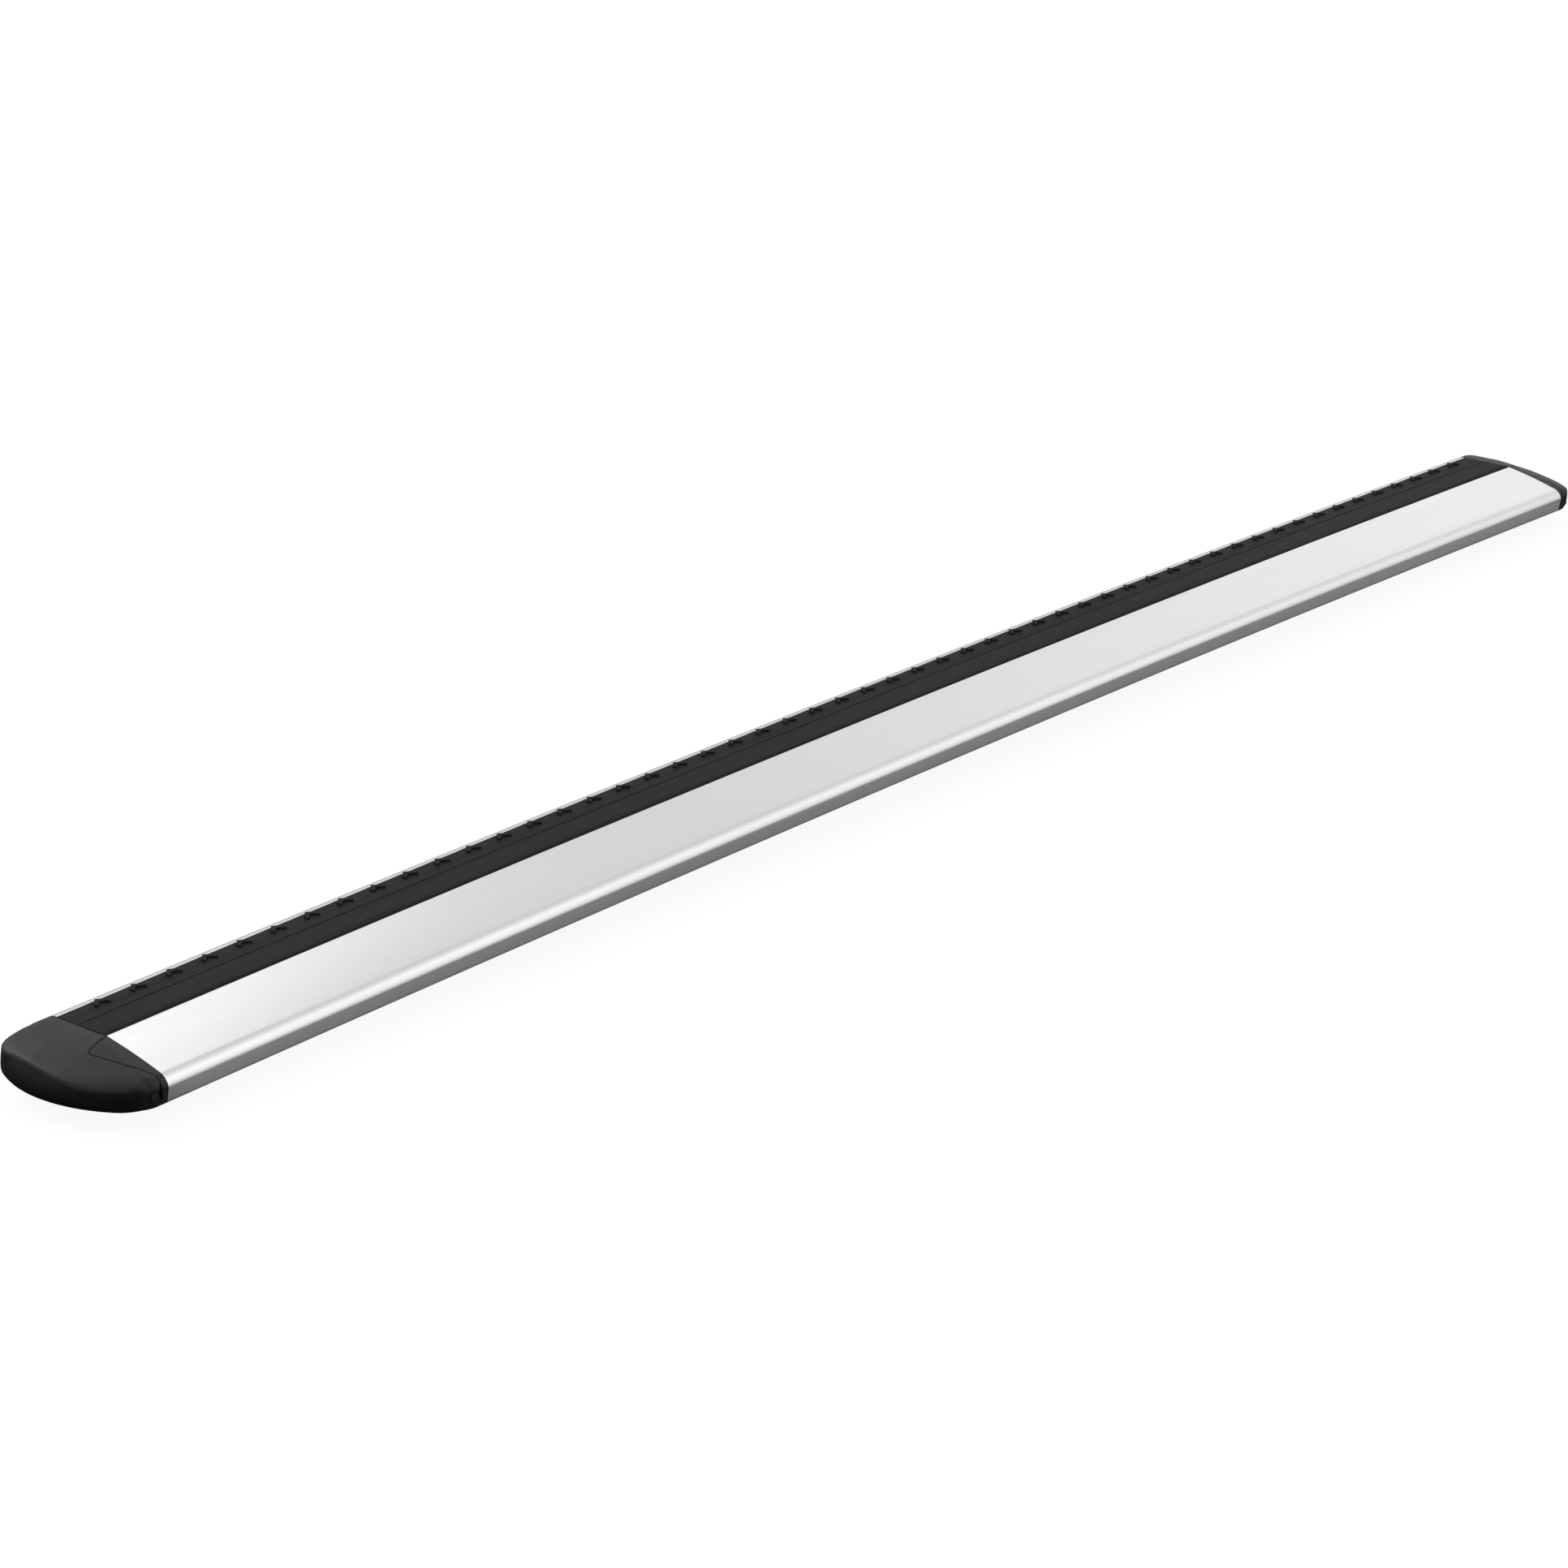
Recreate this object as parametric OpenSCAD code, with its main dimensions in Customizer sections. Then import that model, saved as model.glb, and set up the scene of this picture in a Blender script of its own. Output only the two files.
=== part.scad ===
// Aerofoil roof rack crossbar: a hollow wing-shaped extrusion with a slight upward camber,
// a rubber strip in the top track, a rubber strip in the foot channel below, and at each end a
// screwed-on base with a cover that swings open on a pin to give access to the top track.
// X runs along the bar, +Y points to the rounded leading edge, +Z is up, and z = 0 is the
// underside of the bar at its two ends. Millimetres throughout.

/* [Bar] */
// Overall length over both end covers
bar_length = 1180; // [700:10:1500]
// Width from the leading edge to the trailing edge
bar_width = 80; // [76:1:90]
// Height of the section from the belly to the top of the strip
bar_height = 30; // [29:0.5:34]
// Rise of the bar's middle above its two ends
camber = 4.6; // [2:0.2:9]
// Wall of the aluminium section
bar_wall = 2; // [1.6:0.1:2.4]
// Thickness of the web between the two channels
web_wall = 2; // [1.6:0.1:2.6]

/* [Wing outline] */
// Height of the leading edge's foremost point
nose_z = 14.6; // [13:0.2:16]
// Length of the rounding under the leading edge
nose_under = 18; // [14:0.5:19]
// Where the flat belly ends towards the trailing edge
belly_back_y = 0; // [-3:0.5:2]
// Radius of the underside's sweep up to the trailing edge
underside_r = 85; // [78:1:110]
// Radius of the upper surface in front of the strip
upper_r = 295; // [200:5:500]
// Drop of the metal edge beside the strip
edge_drop = 0.2; // [0:0.05:0.4]
// Height of the crease at the trailing edge
crease_z = 16.7; // [15.5:0.1:17.5]
// Radius of the rounding above that crease
tail_top_r = 7; // [5.5:0.5:8.5]
// How far that rounding stops short of upright at the crease, degrees
tail_crease_deg = 10; // [0:1:20]
// Lean of the blunt trailing face, degrees
tail_lean = 10.7; // [6:0.1:14]
// Radius of the rounding below the trailing face
tail_low_r = 3; // [2:0.25:4]

/* [Top track] */
// Distance of the track's centre from the leading edge
track_in = 27.65; // [26.5:0.05:29]
// Width of the strip and of the recess that it lies in
strip_w = 30.7; // [28:0.1:32]
// Depth of that recess
strip_t = 2.5; // [2:0.1:3]
// Width of the slot between the two lips
track_slot = 12.5; // [10:0.5:14]
// Inner width of the track
track_w = 24.5; // [22:0.5:26]
// Inner height of the track
track_h = 9.3; // [8:0.1:10]
// Thickness of the lips over the track
track_lip = 2.2; // [1.8:0.1:2.6]

/* [Foot channel] */
// Width of the slot in the belly
foot_slot = 10; // [8:0.5:12]
// Inner width of the foot channel
foot_w = 20; // [17:0.5:22]
// Thickness of its lips
foot_lip = 2.6; // [2:0.1:3]

/* [Screw ports] */
// Distance of each screw from the track's side wall, in front of it and behind it
screw_off = [4.4, 5.1]; // [4:0.1:6]
// Height of the screws
screw_z = 14.6; // [13:0.2:16]
// Shank diameter of a screw
screw_d = 3.5; // [3:0.1:4]
// Length of the shank
screw_len = 16; // [10:1:22]
// Head diameter
screw_head_d = 7; // [6:0.2:7.6]
// Head height
screw_head_h = 2.2; // [1.6:0.1:2.6]
// Wall of the metal port round a screw
port_wall = 1.5; // [1.2:0.1:1.8]

/* [Strips] */
// Distance of the slit from the strip's rear edge
slit_from_rear = 12.75; // [11:0.25:14]
// Width of the slit
slit_w = 0.5; // [0.3:0.1:1]
// Width of the strip's bevel at its front edge
strip_bevel_w = 4.8; // [3:0.2:6]
// Depth of that bevel
strip_bevel_t = 1; // [0.4:0.1:1.4]
// Spacing of the chevron ribs on the strip
rib_pitch = 20.7; // [15:0.1:40]
// Distance of the first chevron from the left cut end of the bar
rib_first = 23.5; // [16:0.5:40]
// Width of a chevron along the bar
rib_w = 6.6; // [5:0.2:9]
// Depth of a chevron across the strip
rib_d = 4.8; // [3.5:0.1:6]
// Height of a chevron above the strip
rib_h = 1.1; // [0.6:0.1:1.6]
// Thickness of a chevron's arms
rib_arm = 1.7; // [1.2:0.1:2.2]
// Distance of a chevron's point from the strip's rear edge
rib_in = 0.3; // [0.2:0.1:1]

/* [End caps] */
// How far an end cap reaches past the cut end of the metal
cap_reach = 31; // [28:0.5:36]
// Wall of the moulded covers and bases
cap_wall = 2.2; // [1.8:0.1:2.4]
// Where the cap reaches furthest out, from the bar's centre line
cap_tip_y = 13.5; // [8:0.5:15]
// Height of the cap's furthest point
cap_tip_z = 13.8; // [13:0.1:14.6]
// Length of the cap's level top
cap_level = 8; // [5:0.5:10]
// Height of the crease where the cap's top meets its end wall
cap_crease_z = 21.7; // [20:0.1:23]
// How far that crease lies inside the furthest point
cap_crease_in = 2; // [1.4:0.1:3.4]
// Half the width of the bowl under the cap, towards the leading and the trailing edge
cap_bowl_half = [51, 56.5]; // [50:0.5:62]
// Thickness of the base's floor against the metal
base_floor = 2.4; // [2:0.1:3]
// Length of the base's tongues inside the metal
tongue_len = 12; // [6:0.5:18]

/* [Cover hinge] */
// Distance of the hinge pin from the cut end
pin_out = 6.6; // [6.2:0.1:7.2]
// Diameter of the hinge pin
pin_d = 2.4; // [2:0.1:2.6]
// Radius of the hinge barrel
barrel_r = 3.2; // [3:0.1:3.4]
// Height of the base's knuckle
knuckle_h = 3.8; // [3:0.1:4.4]
// Height of the middle of that knuckle
knuckle_z = 14.5; // [14:0.1:15]

/* [Clearances] */
// Rubber in its metal seat
rubber_gap = 0.15; // [0.05:0.05:0.25]
// Base against the metal, and tongues in the chambers
base_gap = 0.1; // [0.05:0.05:0.25]
// Cover against the metal
cover_gap = 0.4; // [0.3:0.05:0.6]
// Seam between cover and base
seam_gap = 0.35; // [0.3:0.05:0.5]
// Pin pressed into the knuckle, on radius
pin_fit = 0.03; // [0.02:0.01:0.05]
// Cover turning on the pin, on radius
turn_fit = 0.08; // [0.05:0.01:0.1]
// Screw shank in its port, on radius
screw_fit = 0.12; // [0.1:0.01:0.2]

/* [Hidden] */

LEFT = -1;
RIGHT = 1;
eps = 0.01;
over = 1;

// The camber is an arc about an axis parallel to Y, far below the bar.
cut_length = bar_length - 2 * cap_reach;
arc_r = (cut_length * cut_length / 4 + camber * camber) / (2 * camber);
half_angle = asin(cut_length / 2 / arc_r);
arc_z = -arc_r * cos(half_angle);
arc_steps = 24;

// Levels of the section, measured from the belly.
nose_y = bar_width / 2;
tail_y = -bar_width / 2;
track_y = nose_y - track_in;
recess_floor = bar_height - strip_t;
lip_under = recess_floor - track_lip;
track_floor = lip_under - track_h;
web_under = track_floor - web_wall;
strip_rear_y = track_y + strip_w / 2;
strip_front_y = track_y - strip_w / 2;
track_side = track_w / 2 + bar_wall;
screw_y = [track_y + track_side + screw_off[0], track_y - track_side - screw_off[1]];
belly_front_y = nose_y - nose_under;
mid_rib_y = (track_y - track_side + tail_y) / 2;
mid_rib_t = 1.8;
port_r = screw_d / 2 + screw_fit;
port_slot = 1.6;

function polar(c, r, a) = c + r * [cos(a), sin(a)];
function arc(c, r, a0, a1, n, first = 0) = [for (i = [first:n]) polar(c, r, a0 + (a1 - a0) * i / n)];
function oval(c, rx, ry, a0, a1, n, first = 0) =
    [for (i = [first:n]) let (a = a0 + (a1 - a0) * i / n) c + [rx * cos(a), ry * sin(a)]];
function curve(a, b, c, n) =
    [for (i = [0:n]) let (t = i / n) (1 - t) * (1 - t) * a + 2 * t * (1 - t) * b + t * t * c];
function angle_of(v) = atan2(v[1], v[0]);

// Centre of the rounding above the crease, which ends at the crease.
tail_top_c = [tail_y, crease_z] - tail_top_r * [-cos(tail_crease_deg), sin(tail_crease_deg)];

// Metal edge at the front of the strip, where the upper surface starts.
upper_start = [strip_front_y - rubber_gap, bar_height - edge_drop];

// Centre of the upper surface's arc: it passes through upper_start and touches the rounding
// above the crease from outside, so it is the crossing of two circles.
to_tail = tail_top_c - upper_start;
along_tail = (upper_r * upper_r - pow(upper_r - tail_top_r, 2) + to_tail * to_tail) / (2 * norm(to_tail));
upper_c = upper_start + along_tail * to_tail / norm(to_tail)
    + sqrt(upper_r * upper_r - along_tail * along_tail) * [-to_tail[1], to_tail[0]] / norm(to_tail);

// Centre of the rounding below the trailing face: it touches that face and the underside's arc.
underside_c = [belly_back_y, underside_r];
face_dir = [sin(tail_lean), -cos(tail_lean)];
face_in = [cos(tail_lean), sin(tail_lean)];
from_underside = [tail_y, crease_z] + tail_low_r * face_in - underside_c;
face_run = from_underside * face_dir;
tail_low_c = underside_c + from_underside + face_dir * (-face_run
    + sqrt(face_run * face_run - from_underside * from_underside + pow(underside_r - tail_low_r, 2)));

upper_end_deg = angle_of(tail_top_c - upper_c);
underside_end_deg = 360 + angle_of(tail_low_c - underside_c);
least_r = 0.4;

// Outline of the wing section in Y and Z, moved inwards by inset.
function wing(inset = 0) = concat(
    oval([belly_front_y, nose_z], nose_under - inset, nose_z - inset, -90, 0, 14),
    oval([strip_rear_y, nose_z], nose_y - strip_rear_y - inset, bar_height - nose_z - inset, 0, 90, 14, 1),
    arc(upper_c, upper_r - inset, angle_of(upper_start - upper_c), upper_end_deg, 8),
    arc(tail_top_c, tail_top_r - inset, upper_end_deg, 180 - tail_crease_deg, 8, 1),
    arc(tail_low_c, max(tail_low_r - inset, least_r), 180 + tail_lean, underside_end_deg, 5),
    arc(underside_c, underside_r - inset, underside_end_deg, 270, 9, 1));

// A flat shape in Y and Z carried along the cambered bar, short of each cut end by trim.
module along_bar(trim = 0) {
    sweep = half_angle - trim / arc_r * 180 / PI;
    translate([0, 0, arc_z])
        rotate([90, 0, 0])
            rotate([0, 0, 90 - sweep])
                rotate_extrude(angle = 2 * sweep, $fn = ceil(arc_steps * 180 / sweep))
                    translate([arc_r, 0])
                        rotate(-90)
                            children();
}

// Children drawn in the upright frame above the arc are put at a distance along the bar from its middle.
module on_arc(distance) {
    translate([0, 0, arc_z])
        rotate([0, distance / arc_r * 180 / PI, 0])
            translate([0, 0, arc_r])
                children();
}

// Children drawn in the end frame, whose x runs outwards from the cut face, are put at one end.
module at_end(side) {
    mirror([side == LEFT ? 1 : 0, 0, 0])
        translate([0, 0, arc_z])
            rotate([0, half_angle, 0])
                translate([0, 0, arc_r])
                    children();
}

// A flat shape in Y and Z is given a length along x, from one x to another.
module across(from, to) {
    translate([from, 0, 0])
        rotate([90, 0, 90])
            linear_extrude(to - from)
                children();
}

module block(low, high) {
    translate(low)
        cube(high - low);
}

module flat_box(low, high) {
    translate(low)
        square(high - low);
}

// Space of the top track with its slot and recess.
module track_space() {
    flat_box([track_y - track_w / 2, track_floor], [track_y + track_w / 2, lip_under]);
    flat_box([track_y - track_slot / 2, track_floor], [track_y + track_slot / 2, bar_height + over]);
    flat_box([strip_front_y - rubber_gap, recess_floor], [strip_rear_y + rubber_gap, bar_height + over]);
}

module foot_space() {
    flat_box([track_y - foot_w / 2, foot_lip], [track_y + foot_w / 2, web_under]);
    flat_box([track_y - foot_slot / 2, -over], [track_y + foot_slot / 2, foot_lip + eps]);
}

// The hollow chambers of the section, made smaller all round by inset.
module nose_chamber(inset = 0) {
    intersection() {
        polygon(wing(bar_wall + inset));
        flat_box([track_y + track_side + inset, 0], [nose_y, lip_under - inset]);
    }
}

module fore_tail_chamber() {
    intersection() {
        polygon(wing(bar_wall));
        flat_box([mid_rib_y + mid_rib_t / 2, 0], [track_y - track_side, recess_floor - bar_wall]);
    }
}

module aft_tail_chamber(inset = 0) {
    intersection() {
        polygon(wing(bar_wall + inset));
        flat_box([tail_y, 0], [mid_rib_y - mid_rib_t / 2 - inset, bar_height]);
    }
}

module port_disc(y, r) {
    translate([y, screw_z])
        polygon(arc([0, 0], r, 0, 345, 23));
}

// The C-shaped port that a screw cuts its thread into, on a web from the track's side wall.
module screw_port(y, wall_y) {
    toward = sign(y - wall_y);
    difference() {
        union() {
            port_disc(y, port_r + port_wall);
            flat_box([min(y, wall_y - toward * eps), screw_z - bar_wall / 2],
                [max(y, wall_y - toward * eps), screw_z + bar_wall / 2]);
        }
        port_disc(y, port_r / cos(7.5));
        flat_box([min(y, y + toward * 2 * port_r), screw_z - port_slot / 2],
            [max(y, y + toward * 2 * port_r), screw_z + port_slot / 2]);
    }
}

module bar_section() {
    difference() {
        polygon(wing());
        track_space();
        foot_space();
        nose_chamber();
        fore_tail_chamber();
        aft_tail_chamber();
    }
    screw_port(screw_y[0], track_y + track_side);
    screw_port(screw_y[1], track_y - track_side);
}

module bar_extrusion() {
    color("silver")
        along_bar()
            bar_section();
}

// One closed profile: two flaps that meet at the slit, a barbed leg under each, and a thin fold
// between the legs that lets the flaps part when a fitting is pushed in.
slit_y = strip_rear_y - slit_from_rear;
leg_t = 2.1;
leg_gap = 0.3;
barb_out = 2.1;
barb_t = 1.5;
barb_taper = 0.6;
fold_t = 0.8;
leg_front = track_y - track_slot / 2 + leg_gap;
leg_rear = track_y + track_slot / 2 - leg_gap;
barb_gap = 0.2;
barb_top = lip_under - barb_gap;
flap_gap = 0.05;
flap_under = recess_floor + flap_gap;
rubber_front = strip_front_y + rubber_gap;
rubber_rear = strip_rear_y - rubber_gap;

module strip_section() {
    polygon([
        [slit_y - slit_w / 2, bar_height], [slit_y - slit_w / 2, flap_under],
        [leg_front + leg_t, flap_under], [leg_front + leg_t, barb_top - barb_t + fold_t],
        [leg_rear - leg_t, barb_top - barb_t + fold_t], [leg_rear - leg_t, flap_under],
        [slit_y + slit_w / 2, flap_under], [slit_y + slit_w / 2, bar_height],
        [rubber_rear, bar_height], [rubber_rear, flap_under],
        [leg_rear, flap_under], [leg_rear, barb_top],
        [leg_rear + barb_out, barb_top], [leg_rear + barb_out - barb_taper, barb_top - barb_t],
        [leg_front - barb_out + barb_taper, barb_top - barb_t], [leg_front - barb_out, barb_top],
        [leg_front, barb_top], [leg_front, flap_under],
        [rubber_front, flap_under], [rubber_front, bar_height - strip_bevel_t],
        [rubber_front + strip_bevel_w, bar_height]]);
}

// A raised chevron whose point faces the leading edge.
module chevron() {
    arm = rib_arm * norm([rib_w / 2, rib_d - rib_arm]) / (rib_w / 2);
    linear_extrude(rib_h + rib_root)
        polygon([[0, 0], [rib_w / 2, arm - rib_d], [rib_w / 2, -rib_d], [0, -arm],
            [-rib_w / 2, -rib_d], [-rib_w / 2, arm - rib_d]]);
}

rib_root = 0.4;
rib_count = floor((cut_length - rib_first - rib_w) / rib_pitch) + 1;

module top_infill_strip() {
    color("dimgray")
        union() {
            along_bar(rubber_gap)
                strip_section();
            for (i = [0 : rib_count - 1])
                on_arc(rib_first + i * rib_pitch - cut_length / 2)
                    translate([0, rubber_rear - rib_in, bar_height - rib_root])
                        chevron();
        }
}

plug_low = 0.5;
plug_barb = 1.6;
plug_barb_t = 1.4;

module bottom_infill_strip() {
    half_plug = foot_slot / 2 - rubber_gap;
    color("dimgray")
        along_bar(rubber_gap)
            translate([track_y, 0])
                polygon([[-half_plug, plug_low], [half_plug, plug_low],
                    [half_plug, foot_lip + rubber_gap], [half_plug + plug_barb, foot_lip + rubber_gap],
                    [half_plug, foot_lip + rubber_gap + plug_barb_t],
                    [-half_plug, foot_lip + rubber_gap + plug_barb_t],
                    [-half_plug - plug_barb, foot_lip + rubber_gap],
                    [-half_plug, foot_lip + rubber_gap]]);
}

// The cap's plan in x and y: two superellipse quarters that meet at its furthest point.
plan_steps = 12;
fore_power = 5.4;
aft_power = 3.3;

function cap_plan(inset) = concat(
    [[-over, nose_y - inset]],
    [for (i = [plan_steps : -1 : 0]) let (a = 90 * i / plan_steps)
        [(cap_reach - inset) * pow(cos(a), 2 / fore_power),
            cap_tip_y + (nose_y - inset - cap_tip_y) * pow(sin(a), 2 / fore_power)]],
    [for (i = [1 : plan_steps]) let (a = 90 * i / plan_steps)
        [(cap_reach - inset) * pow(cos(a), 2 / aft_power),
            cap_tip_y - (cap_tip_y - tail_y - inset) * pow(sin(a), 2 / aft_power)]],
    [[-over, tail_y + inset]]);

// The cap's side view in x and z: a level top, a slope to the crease and a bowed end wall.
wall_bow_r = (pow(cap_crease_z - cap_tip_z, 2) + pow(cap_crease_in, 2)) / (2 * cap_crease_in);
wall_bow_deg = asin((cap_crease_z - cap_tip_z) / wall_bow_r);
wall_bow_c = [cap_reach - wall_bow_r, cap_tip_z];
slope_end = polar(wall_bow_c, wall_bow_r, wall_bow_deg);
slope_blend = 5;

function slope_point(inset, t) = [cap_level, bar_height - inset] * (1 - t)
    + polar(wall_bow_c, wall_bow_r - inset, wall_bow_deg) * t;

function cap_side(inset) = concat(
    [[-over, -over], [cap_reach - inset, -over]],
    arc(wall_bow_c, wall_bow_r - inset, 0, wall_bow_deg, 4),
    curve(slope_point(inset, slope_blend / (slope_end[0] - cap_level)), [cap_level, bar_height - inset],
        [cap_level - slope_blend, bar_height - inset], 5),
    [[-over, bar_height - inset]]);

// Underneath, the cap is a shallow bowl, a superellipsoid below its furthest point. Slanting prisms
// that touch the bowl from outside stand for it: seen along its slant, each has the bowl's shadow.
bowl_y = 9.7;
bowl_low = 0.5;
bowl_out_power = 1.36;
bowl_across_power = 2;
bowl_down_power = 2.5;
bowl_slants = [20, 42, 60, 74];
bowl_slices = 16;

// How far out the bowl reaches, at a place across the bar and a share of its depth.
function bowl_out(y, share) =
    let (half = cap_bowl_half[y > bowl_y ? 0 : 1],
        rest = 1 - pow(abs(y - bowl_y) / half, bowl_across_power) - pow(share, bowl_down_power))
    cap_reach * pow(max(rest, 0), 1 / bowl_out_power);

function bowl_shadow(y, slant) = max([for (i = [0 : 20])
    bowl_out(y, i / 20) * cos(slant) + i / 20 * (cap_tip_z - bowl_low) * sin(slant)]);

module bowl_prism(inset, slant) {
    translate([0, 0, cap_tip_z])
        rotate([0, slant, 0])
            translate([0, 0, -bar_width])
                linear_extrude(2 * bar_width)
                    polygon(concat([[-bar_width, tail_y]],
                        [for (i = [0 : bowl_slices]) let (y = tail_y + bar_width * i / bowl_slices)
                            [bowl_shadow(y, slant) - inset, y]],
                        [[-bar_width, nose_y]]));
}

// Outer form of an end cap: the wing section, the plan, the side view and the bowl all bound it.
module cap_form(inset, start) {
    intersection() {
        across(start, cap_reach + over)
            polygon(wing(inset));
        translate([0, 0, -over])
            linear_extrude(bar_height + 2 * over)
                polygon(cap_plan(inset));
        rotate([90, 0, 0])
            translate([0, 0, -bar_width])
                linear_extrude(2 * bar_width)
                    polygon(cap_side(inset));
        bowl_prism(inset, bowl_slants[0]);
        bowl_prism(inset, bowl_slants[1]);
        bowl_prism(inset, bowl_slants[2]);
        bowl_prism(inset, bowl_slants[3]);
    }
}

module cap_shell(start) {
    difference() {
        cap_form(0, start);
        cap_form(cap_wall, start - over);
    }
}

// Seam between the fixed wedge and the cover, in plan and moved outwards by gap. It leaves the
// strip's front corner, turns on a round corner and runs to the hinge barrel at the trailing corner.
pin_y = tail_y + barrel_r;
seam_start_y = strip_front_y - 0.4;
seam_corner = [12.4, strip_front_y - 2.8];
seam_corner_in = [4, 1];
seam_corner_down = [0.1, 6];
seam_waist = [9.3, tail_y + 16];
seam_foot = [7.6, pin_y + barrel_r];
wedge_wall_gap = 0.25;
wedge_wall_out = pin_out - barrel_r - seam_gap - wedge_wall_gap;

function seam_path(gap) = concat(
    [[-over, seam_start_y + gap]],
    curve(seam_corner + [-seam_corner_in[0], seam_corner_in[1] + gap], seam_corner + [gap, gap],
        seam_corner + [gap, 0] - seam_corner_down, 6),
    [[seam_waist[0] + gap, seam_waist[1]], [seam_foot[0] + gap, seam_foot[1]]]);

// Left of the pin the base ends clear of the barrel, and the cover is the barrel alone.
base_plan = concat(seam_path(0), [[seam_foot[0], pin_y], [wedge_wall_out, pin_y],
    [wedge_wall_out, tail_y - over], [-over, tail_y - over]]);
cover_cut_plan = concat(seam_path(seam_gap), [[pin_out, seam_foot[1]],
    [pin_out, tail_y - over], [-over, tail_y - over]]);

module column(plan) {
    translate([0, 0, -over])
        linear_extrude(bar_height + 2 * over)
            polygon(plan);
}

module barrel(r, from, to) {
    translate([pin_out, pin_y, from])
        cylinder(r = r, h = to - from, $fn = 40);
}

knuckle_low = knuckle_z - knuckle_h / 2;
knuckle_high = knuckle_z + knuckle_h / 2;
lug_gap = 0.3;
pin_low = 9.6;
pin_high = 18.8;

// The base's floor is small enough to sit inside the cover, apart from its part behind the wedge.
floor_gap = 0.8;
floor_inset = cap_wall + floor_gap;
knuckle_inset = 0.2;
knuckle_arm_t = 2.6;
screw_hole_fit = 0.2;

// The leading tongue stands clear of the screw port and of the web that carries the port.
port_gap = 0.4;
port_web_gap = 0.6;

// The floor stands back over the whole width of the track, so that a plate can slide in past it.
module floor_holes() {
    flat_box([track_y - track_w / 2, track_floor], [track_y + track_w / 2, bar_height + over]);
    for (y = screw_y)
        translate([y, screw_z])
            circle(r = screw_d / 2 + screw_hole_fit, $fn = 32);
}

module hollow_tongue(inner_inset) {
    across(base_gap - tongue_len, base_gap + eps)
        difference() {
            children(0);
            children(1);
        }
}

module end_base(side) {
    color([0.17, 0.17, 0.18])
        at_end(side)
            difference() {
                union() {
                    across(base_gap, base_floor)
                        polygon(wing(floor_inset));
                    difference() {
                        intersection() {
                            union() {
                                cap_shell(base_gap);
                                across(base_gap, base_floor)
                                    polygon(wing());
                            }
                            column(base_plan);
                        }
                        barrel(barrel_r + seam_gap, -over, bar_height + over);
                    }
                    intersection() {
                        union() {
                            barrel(barrel_r - knuckle_inset, knuckle_low, knuckle_high);
                            block([base_floor - eps, pin_y - knuckle_arm_t / 2, knuckle_low],
                                [pin_out, pin_y + knuckle_arm_t / 2, knuckle_high]);
                        }
                        cap_form(knuckle_inset, base_gap);
                    }
                    hollow_tongue() {
                        aft_tail_chamber(base_gap);
                        aft_tail_chamber(base_gap + cap_wall);
                    }
                    hollow_tongue() {
                        difference() {
                            nose_chamber(base_gap);
                            port_disc(screw_y[0], port_r + port_wall + port_gap);
                            flat_box([track_y + track_side, screw_z - bar_wall / 2 - port_web_gap],
                                [nose_y, screw_z + bar_wall / 2 + port_web_gap]);
                        }
                        nose_chamber(base_gap + cap_wall);
                    }
                }
                across(0, base_floor + eps)
                    floor_holes();
                barrel(pin_d / 2 + pin_fit, knuckle_low - over, knuckle_high + over);
            }
}

module hinge_pin(side) {
    color("gray")
        at_end(side)
            barrel(pin_d / 2, pin_low, pin_high);
}

// Stiffening ribs inside the cover, clear of the track's mouth and of the screw heads.
cover_rib_t = 1.8;
cover_rib_from = base_floor + screw_head_h + 2;
cover_rib_y = [track_y - track_side - 12.1, screw_y[0]];
cover_rib_root = 0.5;
cover_rib_hollow_r = 9;
knuckle_slot = 0.15;
pin_end_gap = 0.2;

module end_cover(side) {
    color([0.2, 0.2, 0.21])
        at_end(side)
            difference() {
                union() {
                    difference() {
                        union() {
                            cap_shell(cover_gap);
                            intersection() {
                                cap_form(cover_rib_root, cover_gap);
                                for (y = cover_rib_y)
                                    difference() {
                                        block([cover_rib_from, y - cover_rib_t / 2, 0],
                                            [cap_reach, y + cover_rib_t / 2, bar_height]);
                                        translate([cover_rib_from, y, screw_z])
                                            rotate([90, 0, 0])
                                                cylinder(r = cover_rib_hollow_r, h = 2 * cover_rib_t,
                                                    center = true, $fn = 48);
                                    }
                            }
                        }
                        column(cover_cut_plan);
                        barrel(barrel_r + knuckle_slot, knuckle_low - lug_gap, knuckle_high + lug_gap);
                    }
                    intersection() {
                        cap_form(0, cover_gap);
                        union() {
                            barrel(barrel_r, -over, knuckle_low - lug_gap);
                            barrel(barrel_r, knuckle_high + lug_gap, bar_height);
                        }
                    }
                }
                barrel(pin_d / 2 + turn_fit, -over, pin_high + pin_end_gap);
            }
}

// A pan-head tapping screw whose head bears on the base's floor.
module cap_screw(side, y) {
    tip = 2.5;
    recess = 0.9;
    color("lightgray")
        at_end(side)
            translate([base_floor, y, screw_z])
                rotate([0, 90, 0])
                    difference() {
                        rotate_extrude($fn = 40)
                            polygon(concat(
                                [[0, -screw_len], [screw_d / 2, tip - screw_len], [screw_d / 2, 0]],
                                [[screw_head_d / 2, 0]],
                                oval([0, screw_head_h / 3], screw_head_d / 2, screw_head_h * 2 / 3, 0, 90, 8)));
                        for (turn = [0, 90])
                            rotate([0, 0, turn])
                                translate([0, 0, screw_head_h])
                                    cube([screw_head_d * 0.6, recess, screw_head_h * 1.2], center = true);
                    }
}

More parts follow.
